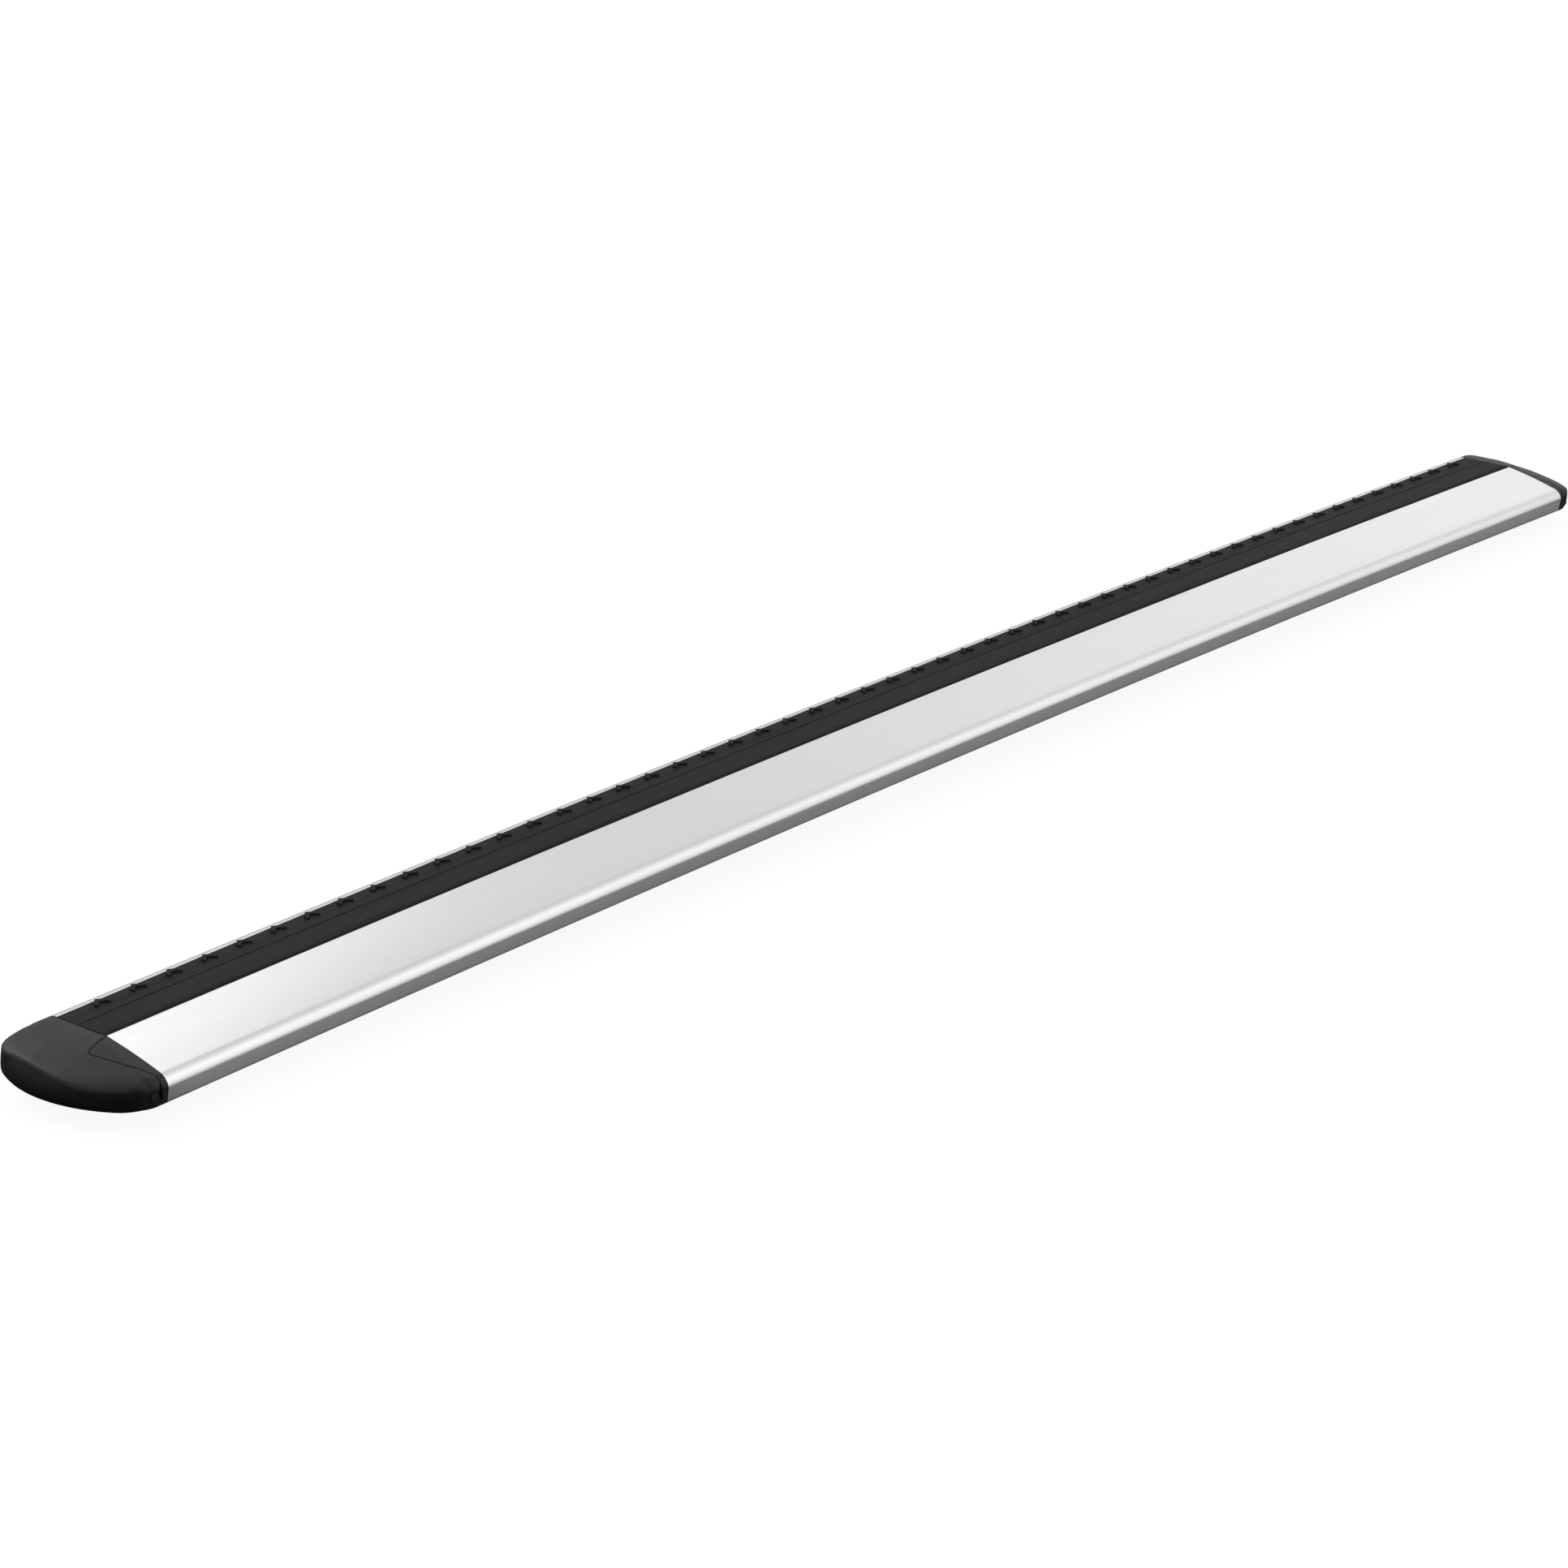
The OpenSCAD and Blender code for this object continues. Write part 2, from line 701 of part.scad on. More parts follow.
bar_extrusion();
top_infill_strip();
bottom_infill_strip();
end_base(LEFT);  // end_base_left
end_base(RIGHT);  // end_base_right
end_cover(LEFT);  // end_cover_left
end_cover(RIGHT);  // end_cover_right
hinge_pin(LEFT);  // hinge_pin_left
hinge_pin(RIGHT);  // hinge_pin_right
cap_screw(LEFT, screw_y[0]);  // screw_left_leading
cap_screw(LEFT, screw_y[1]);  // screw_left_trailing
cap_screw(RIGHT, screw_y[0]);  // screw_right_leading
cap_screw(RIGHT, screw_y[1]);  // screw_right_trailing
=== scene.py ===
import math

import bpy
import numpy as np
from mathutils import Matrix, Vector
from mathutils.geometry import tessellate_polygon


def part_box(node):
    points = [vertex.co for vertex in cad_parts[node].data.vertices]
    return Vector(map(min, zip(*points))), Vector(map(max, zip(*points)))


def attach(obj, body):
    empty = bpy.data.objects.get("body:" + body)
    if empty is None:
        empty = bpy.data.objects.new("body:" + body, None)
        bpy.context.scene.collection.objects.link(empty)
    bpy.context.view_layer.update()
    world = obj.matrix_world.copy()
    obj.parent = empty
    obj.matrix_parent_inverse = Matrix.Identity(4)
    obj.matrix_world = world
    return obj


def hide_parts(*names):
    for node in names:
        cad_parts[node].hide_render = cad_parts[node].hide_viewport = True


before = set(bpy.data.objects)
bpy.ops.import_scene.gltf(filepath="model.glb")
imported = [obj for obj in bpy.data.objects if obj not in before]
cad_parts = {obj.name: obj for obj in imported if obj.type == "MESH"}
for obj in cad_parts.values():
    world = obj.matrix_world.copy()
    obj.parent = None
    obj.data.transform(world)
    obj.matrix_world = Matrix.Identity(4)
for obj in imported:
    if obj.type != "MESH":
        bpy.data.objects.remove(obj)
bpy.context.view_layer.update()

# %% [markdown]
# # A roof rack crossbar in its finishes
# The crossbar is a hollow aluminium wing with a rubber strip in its top track, a rubber strip in
# the channel below, and a moulded cap at each end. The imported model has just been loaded: it says
# where every piece is and what moves. This lesson builds the visible surfaces on that frame. It
# works in the frame's own axes: X runs along the bar, +Y points to the rounded leading edge and
# +Z is up. Sizes are written in millimetres, as on a drawing, and become metres when a mesh is
# made.

mm = 0.001

cut_length = 1118.0
bar_width = 80.0
bar_height = 30.0
camber = 4.6
bar_wall = 2.0

arc_r = (cut_length**2 / 4 + camber**2) / (2 * camber)
half_angle = math.asin(cut_length / 2 / arc_r)
nose_y = bar_width / 2
tail_y = -bar_width / 2

low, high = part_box("bar_extrusion")
print("metal in the frame:", [round(size / mm, 2) for size in high - low], "mm")
print("camber radius:", round(arc_r), "mm")

# %% [markdown]
# ## From numbers to surfaces
# The bar is slightly arched, so every piece along it is a flat outline carried along one large
# circle. The end caps sit square on the cut ends, so they have a frame of their own, turned with
# the end. Two small functions say where such points are, and everything else is drawn flat.


# %% Places on the arched bar and on its ends
def on_arch(distance, y, s):
    """Points of the arched bar, in mm. A point at a distance along the bar from its middle lies on
    a circle about an axis far below; a point s above the belly is s further from that axis."""
    angle = distance / arc_r
    x = (arc_r + s) * np.sin(angle)
    z = (arc_r + s) * np.cos(angle) - arc_r * math.cos(half_angle)
    return np.stack(np.broadcast_arrays(x, y, z), axis=-1)


def on_end(side, out, y, s):
    """Points of an end cap, in mm. out runs outwards from the cut face, square to it, and side is
    -1 at the left end and 1 at the right end, which are mirror images."""
    x = (arc_r + s) * math.sin(half_angle) + out * math.cos(half_angle)
    z = s * math.cos(half_angle) - out * math.sin(half_angle)
    return np.stack(np.broadcast_arrays(side * x, y, z), axis=-1)


# %% [markdown]
# Meshes are made from plain arrays: points in one, faces in another. A closed surface has a
# signed volume, the sum of the small pyramids from the origin to its faces. A negative one means
# that the faces point inwards, so they are turned round. Faces are smooth, and edges sharper than
# a stated angle are marked sharp, which suits crisp mouldings and round ones alike.


# %% Arrays into meshes
def grid_faces(rows, columns, around_rows=False, around_columns=False):
    """Four-cornered faces of a grid of points that is numbered row by row."""
    row, column = np.meshgrid(np.arange(rows - (not around_rows)),
                              np.arange(columns - (not around_columns)), indexing="ij")
    next_row, next_column = (row + 1) % rows, (column + 1) % columns
    corners = [row * columns + column, row * columns + next_column,
               next_row * columns + next_column, next_row * columns + column]
    return np.stack(corners, axis=-1).reshape(-1, 4)


def signed_volume(points, faces):
    """Sum of the pyramids from the origin to every triangle of the faces."""
    fans = [faces[:, [0, k, k + 1]] for k in range(1, faces.shape[1] - 1)]
    a, b, c = np.moveaxis(points[np.concatenate(fans)], 1, 0)
    return np.einsum("ij,ij->i", a, np.cross(b, c)).sum() / 6


def outward(points, groups):
    """The same closed surface with its faces turned round if they pointed inwards."""
    total = sum(signed_volume(points, group) for group in groups)
    return points, [group if total > 0 else group[:, ::-1] for group in groups]


def new_object(name, data):
    thing = bpy.data.objects.new(name, data)
    bpy.context.scene.collection.objects.link(thing)
    return thing


def make_piece(name, parts, sharp_deg=32):
    """A mesh object from closed parts, each a pair of points in mm and groups of faces."""
    corners, faces, count = [], [], 0
    for points, groups in parts:
        corners.append(points * mm)
        for group in groups:
            faces += (group + count).tolist()
        count += len(points)
    mesh = bpy.data.meshes.new(name)
    mesh.from_pydata(np.concatenate(corners).tolist(), [], faces)
    mesh.validate()
    mesh.shade_smooth()
    mesh.set_sharp_from_angle(angle=math.radians(sharp_deg))
    print(f"{name}: {len(mesh.vertices)} points, {len(mesh.polygons)} faces")
    return new_object(name, mesh)


# %% [markdown]
# ## Drawing outlines
# An outline is an array of points in Y and S, where S is the height above the belly. Round
# stretches are arcs. Corners of a real extrusion or moulding are never knife sharp, so each
# corner gets a small radius, and that is what catches the light along an edge.


# %% Arcs and softened corners
def oval(centre, r_y, r_s, start_deg, end_deg, count):
    """Points of an ellipse about a centre, from one angle to another."""
    turn = np.radians(np.linspace(start_deg, end_deg, count))
    return np.stack([centre[0] + r_y * np.cos(turn), centre[1] + r_s * np.sin(turn)], axis=-1)


def arc(centre, radius, start_deg, end_deg, count):
    return oval(centre, radius, radius, start_deg, end_deg, count)


def soften(corners, radii, steps=4):
    """Rounds each corner of a closed outline: it is replaced by a curve that leaves one side and
    joins the other at the same distance, weighted as (1-t)^2, 2t(1-t) and t^2. The distance is the
    radius over the tangent of half the corner's angle, and never more than 0.45 of a side."""
    corners = np.asarray(corners, float)
    radii = np.broadcast_to(np.asarray(radii, float), len(corners))
    before, after = np.roll(corners, 1, 0) - corners, np.roll(corners, -1, 0) - corners
    side_1, side_2 = np.linalg.norm(before, axis=1), np.linalg.norm(after, axis=1)
    cosine = np.einsum("ij,ij->i", before, after) / (side_1 * side_2)
    half = np.arccos(np.clip(cosine, -1, 1)) / 2
    reach = np.minimum(radii / np.tan(np.maximum(half, 0.05)), 0.45 * np.minimum(side_1, side_2))
    enter = corners + before * (reach / side_1)[:, None]
    leave = corners + after * (reach / side_2)[:, None]
    t = np.linspace(0, 1, steps + 1)[None, :, None]
    enter, leave, middle = enter[:, None], leave[:, None], corners[:, None]
    curve = (1 - t) ** 2 * enter + 2 * t * (1 - t) * middle + t**2 * leave
    curve = curve.reshape(-1, 2)
    return curve[np.linalg.norm(curve - np.roll(curve, 1, 0), axis=1) > 1e-4]


def outline(*stretches):
    """One closed, softened outline from stretches, each a list of points and their radius."""
    points = np.concatenate([np.reshape(part, (-1, 2)) for part, _ in stretches])
    radii = np.concatenate([np.full(len(np.reshape(part, (-1, 2))), r) for part, r in stretches])
    return soften(points, radii)


def area(loop):
    """Area inside a loop: half the sum of the cross products of neighbours, negative clockwise."""
    after = np.roll(loop, -1, 0)
    return (loop[:, 0] * after[:, 1] - loop[:, 1] * after[:, 0]).sum() / 2


# %% [markdown]
# ## The aluminium extrusion
# The bar is pressed through a die as one hollow wing: a round nose, a flat belly, a sweep up to a
# blunt trailing edge with a crisp crease above it, a T-shaped track in the top, a channel for the
# roof feet in the belly, three chambers and two C-shaped screw ports. The outer outline is one
# loop, because both channels open into it, and each chamber is a loop inside it.

# %% Outline of the wing
strip_w, strip_t = 30.7, 2.5
track_in, track_slot, track_w, track_h, track_lip = 27.65, 12.5, 24.5, 9.3, 2.2
foot_slot, foot_w, foot_lip, web_wall = 10.0, 20.0, 2.6, 2.0
nose_s, nose_under = 14.6, 18.0
underside_r, upper_r, edge_drop = 85.0, 295.0, 0.2
crease_s, crease_deg, tail_r, tail_lean_deg, tail_low_r = 16.7, 10.0, 7.0, 10.7, 3.0
rubber_gap = 0.15

track_y = nose_y - track_in
recess_s = bar_height - strip_t
lip_s = recess_s - track_lip
floor_s = lip_s - track_h
web_s = floor_s - web_wall
strip_back, strip_front = track_y + strip_w / 2, track_y - strip_w / 2
upper_start = np.array([strip_front - rubber_gap, bar_height - edge_drop])


def unit(angle_deg):
    return np.array([math.cos(math.radians(angle_deg)), math.sin(math.radians(angle_deg))])


def heading(vector):
    return math.degrees(math.atan2(vector[1], vector[0]))


# The circles round the tail touch one another.
tail_c = np.array([tail_y, crease_s]) - tail_r * unit(180 - crease_deg)
to_tail = tail_c - upper_start
span = np.linalg.norm(to_tail)
along = (upper_r**2 - (upper_r - tail_r) ** 2 + span**2) / (2 * span)
square_to = np.array([-to_tail[1], to_tail[0]])
upper_c = upper_start + (along * to_tail + math.sqrt(upper_r**2 - along**2) * square_to) / span

under_c = np.array([0.0, underside_r])
face_down, face_in = unit(tail_lean_deg - 90), unit(tail_lean_deg)
reach = np.array([tail_y, crease_s]) + tail_low_r * face_in - under_c
run = reach @ face_down
low_c = under_c + reach + face_down * (-run + math.sqrt(run**2 - reach @ reach
                                                        + (underside_r - tail_low_r) ** 2))
upper_deg, under_deg = heading(tail_c - upper_c), 360 + heading(low_c - under_c)
print("tail rounding about", tail_c.round(2), "lower rounding about", low_c.round(2))


# %% Stretches of the wing, moved inwards by a wall
def nose_low(inset, start=-90, count=22):
    """An ellipse's quarter, from the belly to the foremost point."""
    return oval((nose_y - nose_under, nose_s), nose_under - inset, nose_s - inset, start, 0, count)


def nose_high(inset, end=90, count=22):
    """An ellipse's quarter, from the foremost point to the strip."""
    r_y, r_s = nose_y - strip_back, bar_height - nose_s
    return oval((strip_back, nose_s), r_y - inset, r_s - inset, 0, end, count)


def upper_line(inset, count=26):
    """One large arc, from the strip to the rounding at the tail."""
    start = heading(upper_start - upper_c)
    return arc(upper_c, upper_r - inset, start, upper_deg, count)


def tail_lines(inset, high_count=18, low_count=9):
    """The tail: an arc to the crease, the leaning blunt face, and an arc into the underside."""
    low_r = max(tail_low_r - inset, 0.4)
    return np.concatenate([arc(tail_c, tail_r - inset, upper_deg, 180 - crease_deg, high_count)[1:],
                           arc(low_c, low_r, 180 + tail_lean_deg, under_deg, low_count)])


def under_line(inset, count=18):
    """One arc, from the tail to the flat belly."""
    return arc(under_c, underside_r - inset, under_deg, 270, count)[1:]


edge_round, channel_round, inner_round, port_round = 0.35, 0.3, 0.5, 0.2


def mirrored(half):
    """A stretch about the track's middle: the half given, then its mirror image back again."""
    return np.array([*half, *((-y, s) for y, s in half[::-1])]) + [track_y, 0]


def metal_outline():
    """The outer loop: under the nose, over the top track, to the tail and back along the belly."""
    slot, side = track_slot / 2, track_w / 2
    back, front = strip_back + rubber_gap, strip_front - rubber_gap
    track = mirrored([(slot, recess_s), (slot, lip_s), (side, lip_s), (side, floor_s)])
    track = [(back, recess_s), *track, (front, recess_s)]
    slot, side = -foot_slot / 2, -foot_w / 2
    foot = mirrored([(slot, 0), (slot, foot_lip), (side, foot_lip), (side, web_s)])
    return outline((nose_low(0), 0), (nose_high(0)[1:-1], 0),
                   ([(back, bar_height - 0.001)], edge_round), (track, channel_round),
                   (upper_line(0)[:1], edge_round), (upper_line(0)[1:], 0),
                   (tail_lines(0), edge_round), (under_line(0), 0), (foot, channel_round))


# %% Chambers and screw ports
port_r, port_wall, port_slot, screw_s = 1.87, 1.5, 1.6, 14.6
track_side = track_w / 2 + bar_wall
screw_y = (track_y + track_side + 4.4, track_y - track_side - 5.1)
rib_y, rib_t = (track_y - track_side + tail_y) / 2, 1.8


def port_line(y, wall_y):
    """The C-shaped screw port as a stretch of a chamber's loop: along the top of its web, over the
    outside of the C, in at its slot, round the bore, out again and back along the web."""
    outer, web = port_r + port_wall, bar_wall / 2
    at_web = math.degrees(math.asin(web / outer))
    at_slot = math.degrees(math.asin(port_slot / 2 / outer))
    in_slot = math.degrees(math.asin(port_slot / 2 / port_r))
    c = (0, 0)
    at_wall = -abs(y - wall_y)
    line = np.concatenate([
        [[at_wall, web]], arc(c, outer, 180 - at_web, at_slot, 14),
        arc(c, port_r, in_slot, 360 - in_slot, 26), arc(c, outer, -at_slot, at_web - 180, 14),
        [[at_wall, -web]]])
    return line * [np.sign(y - wall_y), 1] + [y, screw_s]


def under_at(y, inset):
    """Height of the underside's arc, moved in by the wall, at a place across the bar."""
    return under_c[1] - math.sqrt((underside_r - inset) ** 2 - (y - under_c[0]) ** 2)


def upper_at(y, inset):
    return upper_c[1] + math.sqrt((upper_r - inset) ** 2 - (y - upper_c[0]) ** 2)


def nose_chamber():
    """The leading chamber, with a screw port on the track's side wall."""
    wall = track_y + track_side
    start = -math.degrees(math.acos((wall - nose_y + nose_under) / (nose_under - bar_wall)))
    end = math.degrees(math.asin((lip_s - nose_s) / (bar_height - nose_s - bar_wall)))
    return outline((nose_low(bar_wall, start), 0), (nose_high(bar_wall, end)[1:], 0),
                   ([(wall, lip_s)], inner_round), (port_line(screw_y[0], wall), port_round))


def fore_chamber():
    """The middle chamber, with a screw port on the track's other side wall."""
    wall, rib, top = track_y - track_side, rib_y + rib_t / 2, recess_s - bar_wall
    upper = upper_line(bar_wall)
    upper = upper[(upper[:, 0] > rib) & (upper[:, 1] < top)]
    roof = [(wall, top), *upper, (rib, min(top, upper_at(rib, bar_wall)))]
    floor = [(y, under_at(min(y, 0), bar_wall)) for y in np.linspace(rib, wall, 8)]
    return outline((roof, inner_round), (floor, port_round),
                   (port_line(screw_y[1], wall)[::-1], port_round))


def aft_chamber(inset=bar_wall, rib=rib_y - rib_t / 2):
    """The trailing chamber: the tail's own lines, closed by the rib."""
    walls = np.concatenate([upper_line(inset), tail_lines(inset), under_line(inset)])
    walls = walls[walls[:, 0] < rib - 0.5]
    return outline(([(rib, upper_at(rib, inset))], inner_round), (walls, 0),
                   ([(rib, under_at(rib, inset))], inner_round))


# %% [markdown]
# A loop carried along the arch makes a tube. The end faces are filled between the outer loop and
# the chamber loops, so that the cut metal shows its real section.


# %% Loops carried along a path
def filled(loops):
    """Triangles that fill the space between flat loops, all turned anticlockwise."""
    fill = np.array(tessellate_polygon([[Vector((*point, 0)) for point in loop] for loop in loops]))
    corners = np.concatenate(loops)[fill]
    turn = np.cross(corners[:, 1] - corners[:, 0], corners[:, 2] - corners[:, 0])
    return np.where(turn[:, None] > 0, fill, fill[:, ::-1])


def swept(loops, stations, place):
    """A closed part: loops carried over stations that a placing function knows, with both ends
    filled. The first loop runs anticlockwise and the holes clockwise, so that all faces point out
    of the material."""
    loops = [loop[::(1 if (area(loop) > 0) == (k == 0) else -1)] for k, loop in enumerate(loops)]
    flat = np.concatenate(loops)
    points = place(stations[:, None], flat[:, 0], flat[:, 1]).reshape(-1, 3)
    groups, first = [], 0
    for loop in loops:
        faces = grid_faces(len(stations), len(loop), around_columns=True)
        row, column = np.divmod(faces, len(loop))
        groups.append(row * len(flat) + column + first)
        first += len(loop)
    if signed_volume(points, groups[0]) < 0:
        groups = [group[:, ::-1] for group in groups]
    fill, last = filled(loops), (len(stations) - 1) * len(flat)
    return points, [*groups, fill[:, ::-1], fill + last]


def carried(loops, length, count):
    return swept(loops, np.linspace(-length / 2, length / 2, count), on_arch)


wing_loops = [metal_outline(), nose_chamber(), fore_chamber(), aft_chamber()]
metal = make_piece("aluminium_wing", [carried(wing_loops, cut_length, 37)])
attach(metal, "bar")
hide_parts("bar_extrusion")

# %% [markdown]
# ## Materials
# Each finish is a node material that reads Object coordinates, so it stays put on its piece.
# Anodised aluminium is a satin metal: pressing it through the die leaves fine lines along the
# bar, and the anodic layer gives it a soft, slightly cloudy sheen.


# %% A small kit for node materials
def new_material(name):
    material = bpy.data.materials.new(name)
    material.use_nodes = True
    nodes = material.node_tree.nodes
    return material, nodes, nodes["Principled BSDF"]


def put(node, values):
    """Plain values for the named inputs of a node."""
    for name, value in values.items():
        node.inputs[name].default_value = value


def join(source, target):
    """A link from an output to an input of the same node tree."""
    target.id_data.links.new(source, target)


def object_place(nodes, values):
    """Object coordinates, moved or stretched by a Mapping node."""
    place, mapping = nodes.new("ShaderNodeTexCoord"), nodes.new("ShaderNodeMapping")
    put(mapping, values)
    join(place.outputs["Object"], mapping.inputs["Vector"])
    return mapping.outputs["Vector"]


def pattern(nodes, kind, scale, stretch=(1, 1, 1), **settings):
    """A noise or cell texture on stretched Object coordinates."""
    texture = nodes.new(f"ShaderNodeTex{kind}")
    put(texture, {"Scale": scale, **settings})
    join(object_place(nodes, {"Scale": stretch}), texture.inputs["Vector"])
    return texture


def ramp(nodes, source, low_colour, high_colour, start=0.3, end=0.7):
    """A colour ramp between two colours, driven by a texture's value."""
    blend = nodes.new("ShaderNodeValToRGB")
    steps = zip(blend.color_ramp.elements, (start, end), (low_colour, high_colour))
    for step, position, colour in steps:
        step.position, step.color = position, (*colour, 1)
    join(source, blend.inputs["Fac"])
    return blend.outputs["Color"]


def spread(nodes, source, low_value, high_value):
    """A texture's value, 0.3 to 0.7, brought to a range of plain numbers."""
    scale = nodes.new("ShaderNodeMapRange")
    put(scale, {"From Min": 0.3, "From Max": 0.7, "To Min": low_value, "To Max": high_value})
    join(source, scale.inputs["Value"])
    return scale.outputs["Result"]


def vary(nodes, shader, colour, colours, rough, roughness):
    """Colour and roughness that vary between two values each, with a texture each."""
    join(ramp(nodes, colour.outputs["Fac"], *colours), shader.inputs["Base Color"])
    join(spread(nodes, rough.outputs["Fac"], *roughness), shader.inputs["Roughness"])


def bump(nodes, shader, height, distance, strength):
    """Fine relief from a texture's value, its distance in metres."""
    relief = nodes.new("ShaderNodeBump")
    put(relief, {"Distance": distance, "Strength": strength})
    join(height, relief.inputs["Height"])
    join(relief.outputs["Normal"], shader.inputs["Normal"])


def anodised_aluminium():
    material, nodes, shader = new_material("anodised_aluminium")
    lines = pattern(nodes, "Noise", 700, (0.004, 1, 1), Detail=3.0)
    cloud = pattern(nodes, "Noise", 9, (0.35, 1, 1), Detail=4.0)
    put(shader, {"Metallic": 1.0})
    colours = (0.86, 0.865, 0.875), (0.91, 0.915, 0.92)
    vary(nodes, shader, cloud, colours, lines, (0.27, 0.35))
    bump(nodes, shader, lines.outputs["Fac"], 0.00002, 0.25)
    return material


metal.data.materials.append(anodised_aluminium())

# %% [markdown]
# ## The rubber strips
# The top strip is pushed into the track: two flaps that meet at a slit, a barbed leg under each
# and a thin fold between the legs, so that the flaps part when a fitting slides in. A row of
# raised chevrons on its rear edge breaks up the wind: one small form, placed in a loop.

# %% Outline of the top strip
slit_y, slit_w, slit_round = strip_back - 13.3, 0.5, 0.35
leg_t, leg_gap, barb_out, barb_t, barb_taper, fold_t = 2.1, 0.3, 2.1, 1.5, 0.6, 0.8
bevel_w, bevel_t, edge_w = 4.8, 0.35, 2.4
leg = track_slot / 2 - leg_gap
barb_s, flap_s = lip_s - 0.2, recess_s + 0.05
rubber_front, rubber_back = strip_front + rubber_gap, strip_back - rubber_gap
groove_depth, groove_pitch = 0.05, 1.1
from_ribs, from_slit, from_bevel = 0.8, 0.5, 0.4  # how far the grooves stay away
rib_d = 6.4  # a chevron's size across the bar


def grooved(start_y, end_y):
    """The flap's top line: fine grooves, a raised cosine of even pitch that fades at both ends."""
    count = max(2, round(abs(end_y - start_y) / groove_pitch))
    share = np.linspace(0, 1, 8 * count + 1)
    dip = groove_depth * (0.5 - 0.5 * np.cos(2 * math.pi * count * share))
    return np.stack([start_y + (end_y - start_y) * share, bar_height - dip], axis=-1)


def strip_outline():
    """The strip's section: two flaps with a slit between them and a barbed leg under each."""
    fold_s, barb = barb_s - barb_t + fold_t, leg + barb_out
    fold = mirrored([(leg - leg_t, flap_s), (leg - leg_t, fold_s)])
    barbs = mirrored([(-leg, flap_s), (-leg, barb_s), (-barb, barb_s),
                      (-barb + barb_taper, barb_s - barb_t)])
    slit_back, slit_front = slit_y + slit_w / 2, slit_y - slit_w / 2
    front_top = rubber_front + bevel_w
    return outline(
        (grooved(rubber_back - rib_d - from_ribs, slit_back + from_slit), 0),
        ([(slit_back, bar_height)], slit_round),
        ([(slit_back, flap_s), *fold, (slit_front, flap_s)], 0.2),
        ([(slit_front, bar_height)], slit_round),
        (grooved(slit_front - from_slit, front_top + from_bevel), 0),
        ([(front_top, bar_height), (rubber_front + edge_w, bar_height - bevel_t)], 0.4),
        ([(rubber_front + 0.5, flap_s + 0.4), (rubber_front, flap_s + 0.4), (rubber_front, flap_s),
          *barbs, (rubber_back, flap_s)], 0.2),
        ([(rubber_back, bar_height)], 0.4))


# %% Chevrons
rib_pitch, rib_first, rib_in = 20.7, 21.0, 0.2
rib_w, rib_h, rib_arm, rib_root, rib_round, rib_edge = 7.6, 1.1, 2.2, 0.4, 0.35, 0.3
rib_count = math.floor((cut_length - rib_first - rib_w) / rib_pitch) + 1
print("chevrons:", rib_count, "at a pitch of", rib_pitch, "mm")


def shrunk(loop, by):
    """A loop with each point moved inwards, square to the line between its two neighbours."""
    ahead = np.roll(loop, -1, 0) - np.roll(loop, 1, 0)
    inward = np.stack([-ahead[:, 1], ahead[:, 0]], axis=-1) * np.sign(area(loop))
    return loop + by * inward / np.linalg.norm(inward, axis=1)[:, None]


def chevron():
    """A closed V-shaped form about the origin, point towards +y, and its faces: one loop raised in
    rings that draw in towards the top, like a rubber moulding with rounded edges."""
    arm = rib_arm * math.hypot(rib_w / 2, rib_d - rib_arm) / (rib_w / 2)
    shape = soften([(0, 0), (-rib_w / 2, arm - rib_d), (-rib_w / 2, -rib_d), (0, -arm),
                    (rib_w / 2, -rib_d), (rib_w / 2, arm - rib_d)], rib_round, 2)
    turn = np.radians([0, 45, 90])
    rings = [shape, *(shrunk(shape, rib_edge * (1 - math.cos(a))) for a in turn)]
    rises = [-rib_root, *(rib_h - rib_edge + rib_edge * np.sin(turn))]
    points = np.concatenate([np.c_[loop, np.full(len(loop), s)] for loop, s in zip(rings, rises)])
    sides, cap = grid_faces(len(rings), len(shape), around_columns=True), filled([rings[-1]])
    return points, [sides, cap + (len(rings) - 1) * len(shape), cap[:, ::-1]]


def all_chevrons():
    """The same form again and again, laid on the arch at an even pitch."""
    form, groups = chevron()
    y, s = rubber_back - rib_in + form[:, 1], bar_height + form[:, 2]
    middles = rib_first + rib_pitch * np.arange(rib_count) - cut_length / 2
    return [outward(on_arch(middle + form[:, 0], y, s), groups) for middle in middles]


# %% The top strip with its chevrons
flaps = carried([strip_outline()], cut_length + 2 * rubber_gap, 37)
strip = make_piece("top_strip", [flaps, *all_chevrons()])
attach(strip, "bar")
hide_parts("top_infill_strip")

# %% The strip in the foot channel
plug_low, plug_barb, plug_barb_t = 0.5, 1.6, 1.4
half_plug = foot_slot / 2 - rubber_gap


def foot_strip_outline():
    """The lower strip's section: a plug in the slot with a barb over each lip."""
    barb = foot_lip + rubber_gap
    return soften(mirrored([(half_plug, plug_low), (half_plug, barb),
                            (half_plug + plug_barb, barb), (half_plug, barb + plug_barb_t)]), 0.3)


foot_plug = carried([foot_strip_outline()], cut_length - 2 * rubber_gap, 49)
foot_strip = make_piece("foot_strip", [foot_plug])
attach(foot_strip, "bar")
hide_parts("bottom_infill_strip")


# %% Rubber
def strip_rubber():
    material, nodes, shader = new_material("strip_rubber")
    lines = pattern(nodes, "Noise", 1100, (0.004, 1, 1), Detail=3.0)
    cloud = pattern(nodes, "Noise", 14, (0.3, 1, 1), Detail=3.0)
    colours = (0.008, 0.008, 0.0083), (0.012, 0.012, 0.0124)
    vary(nodes, shader, cloud, colours, lines, (0.62, 0.76))
    put(shader, {"Specular IOR Level": 0.2})
    bump(nodes, shader, lines.outputs["Fac"], 0.00003, 0.3)
    return material


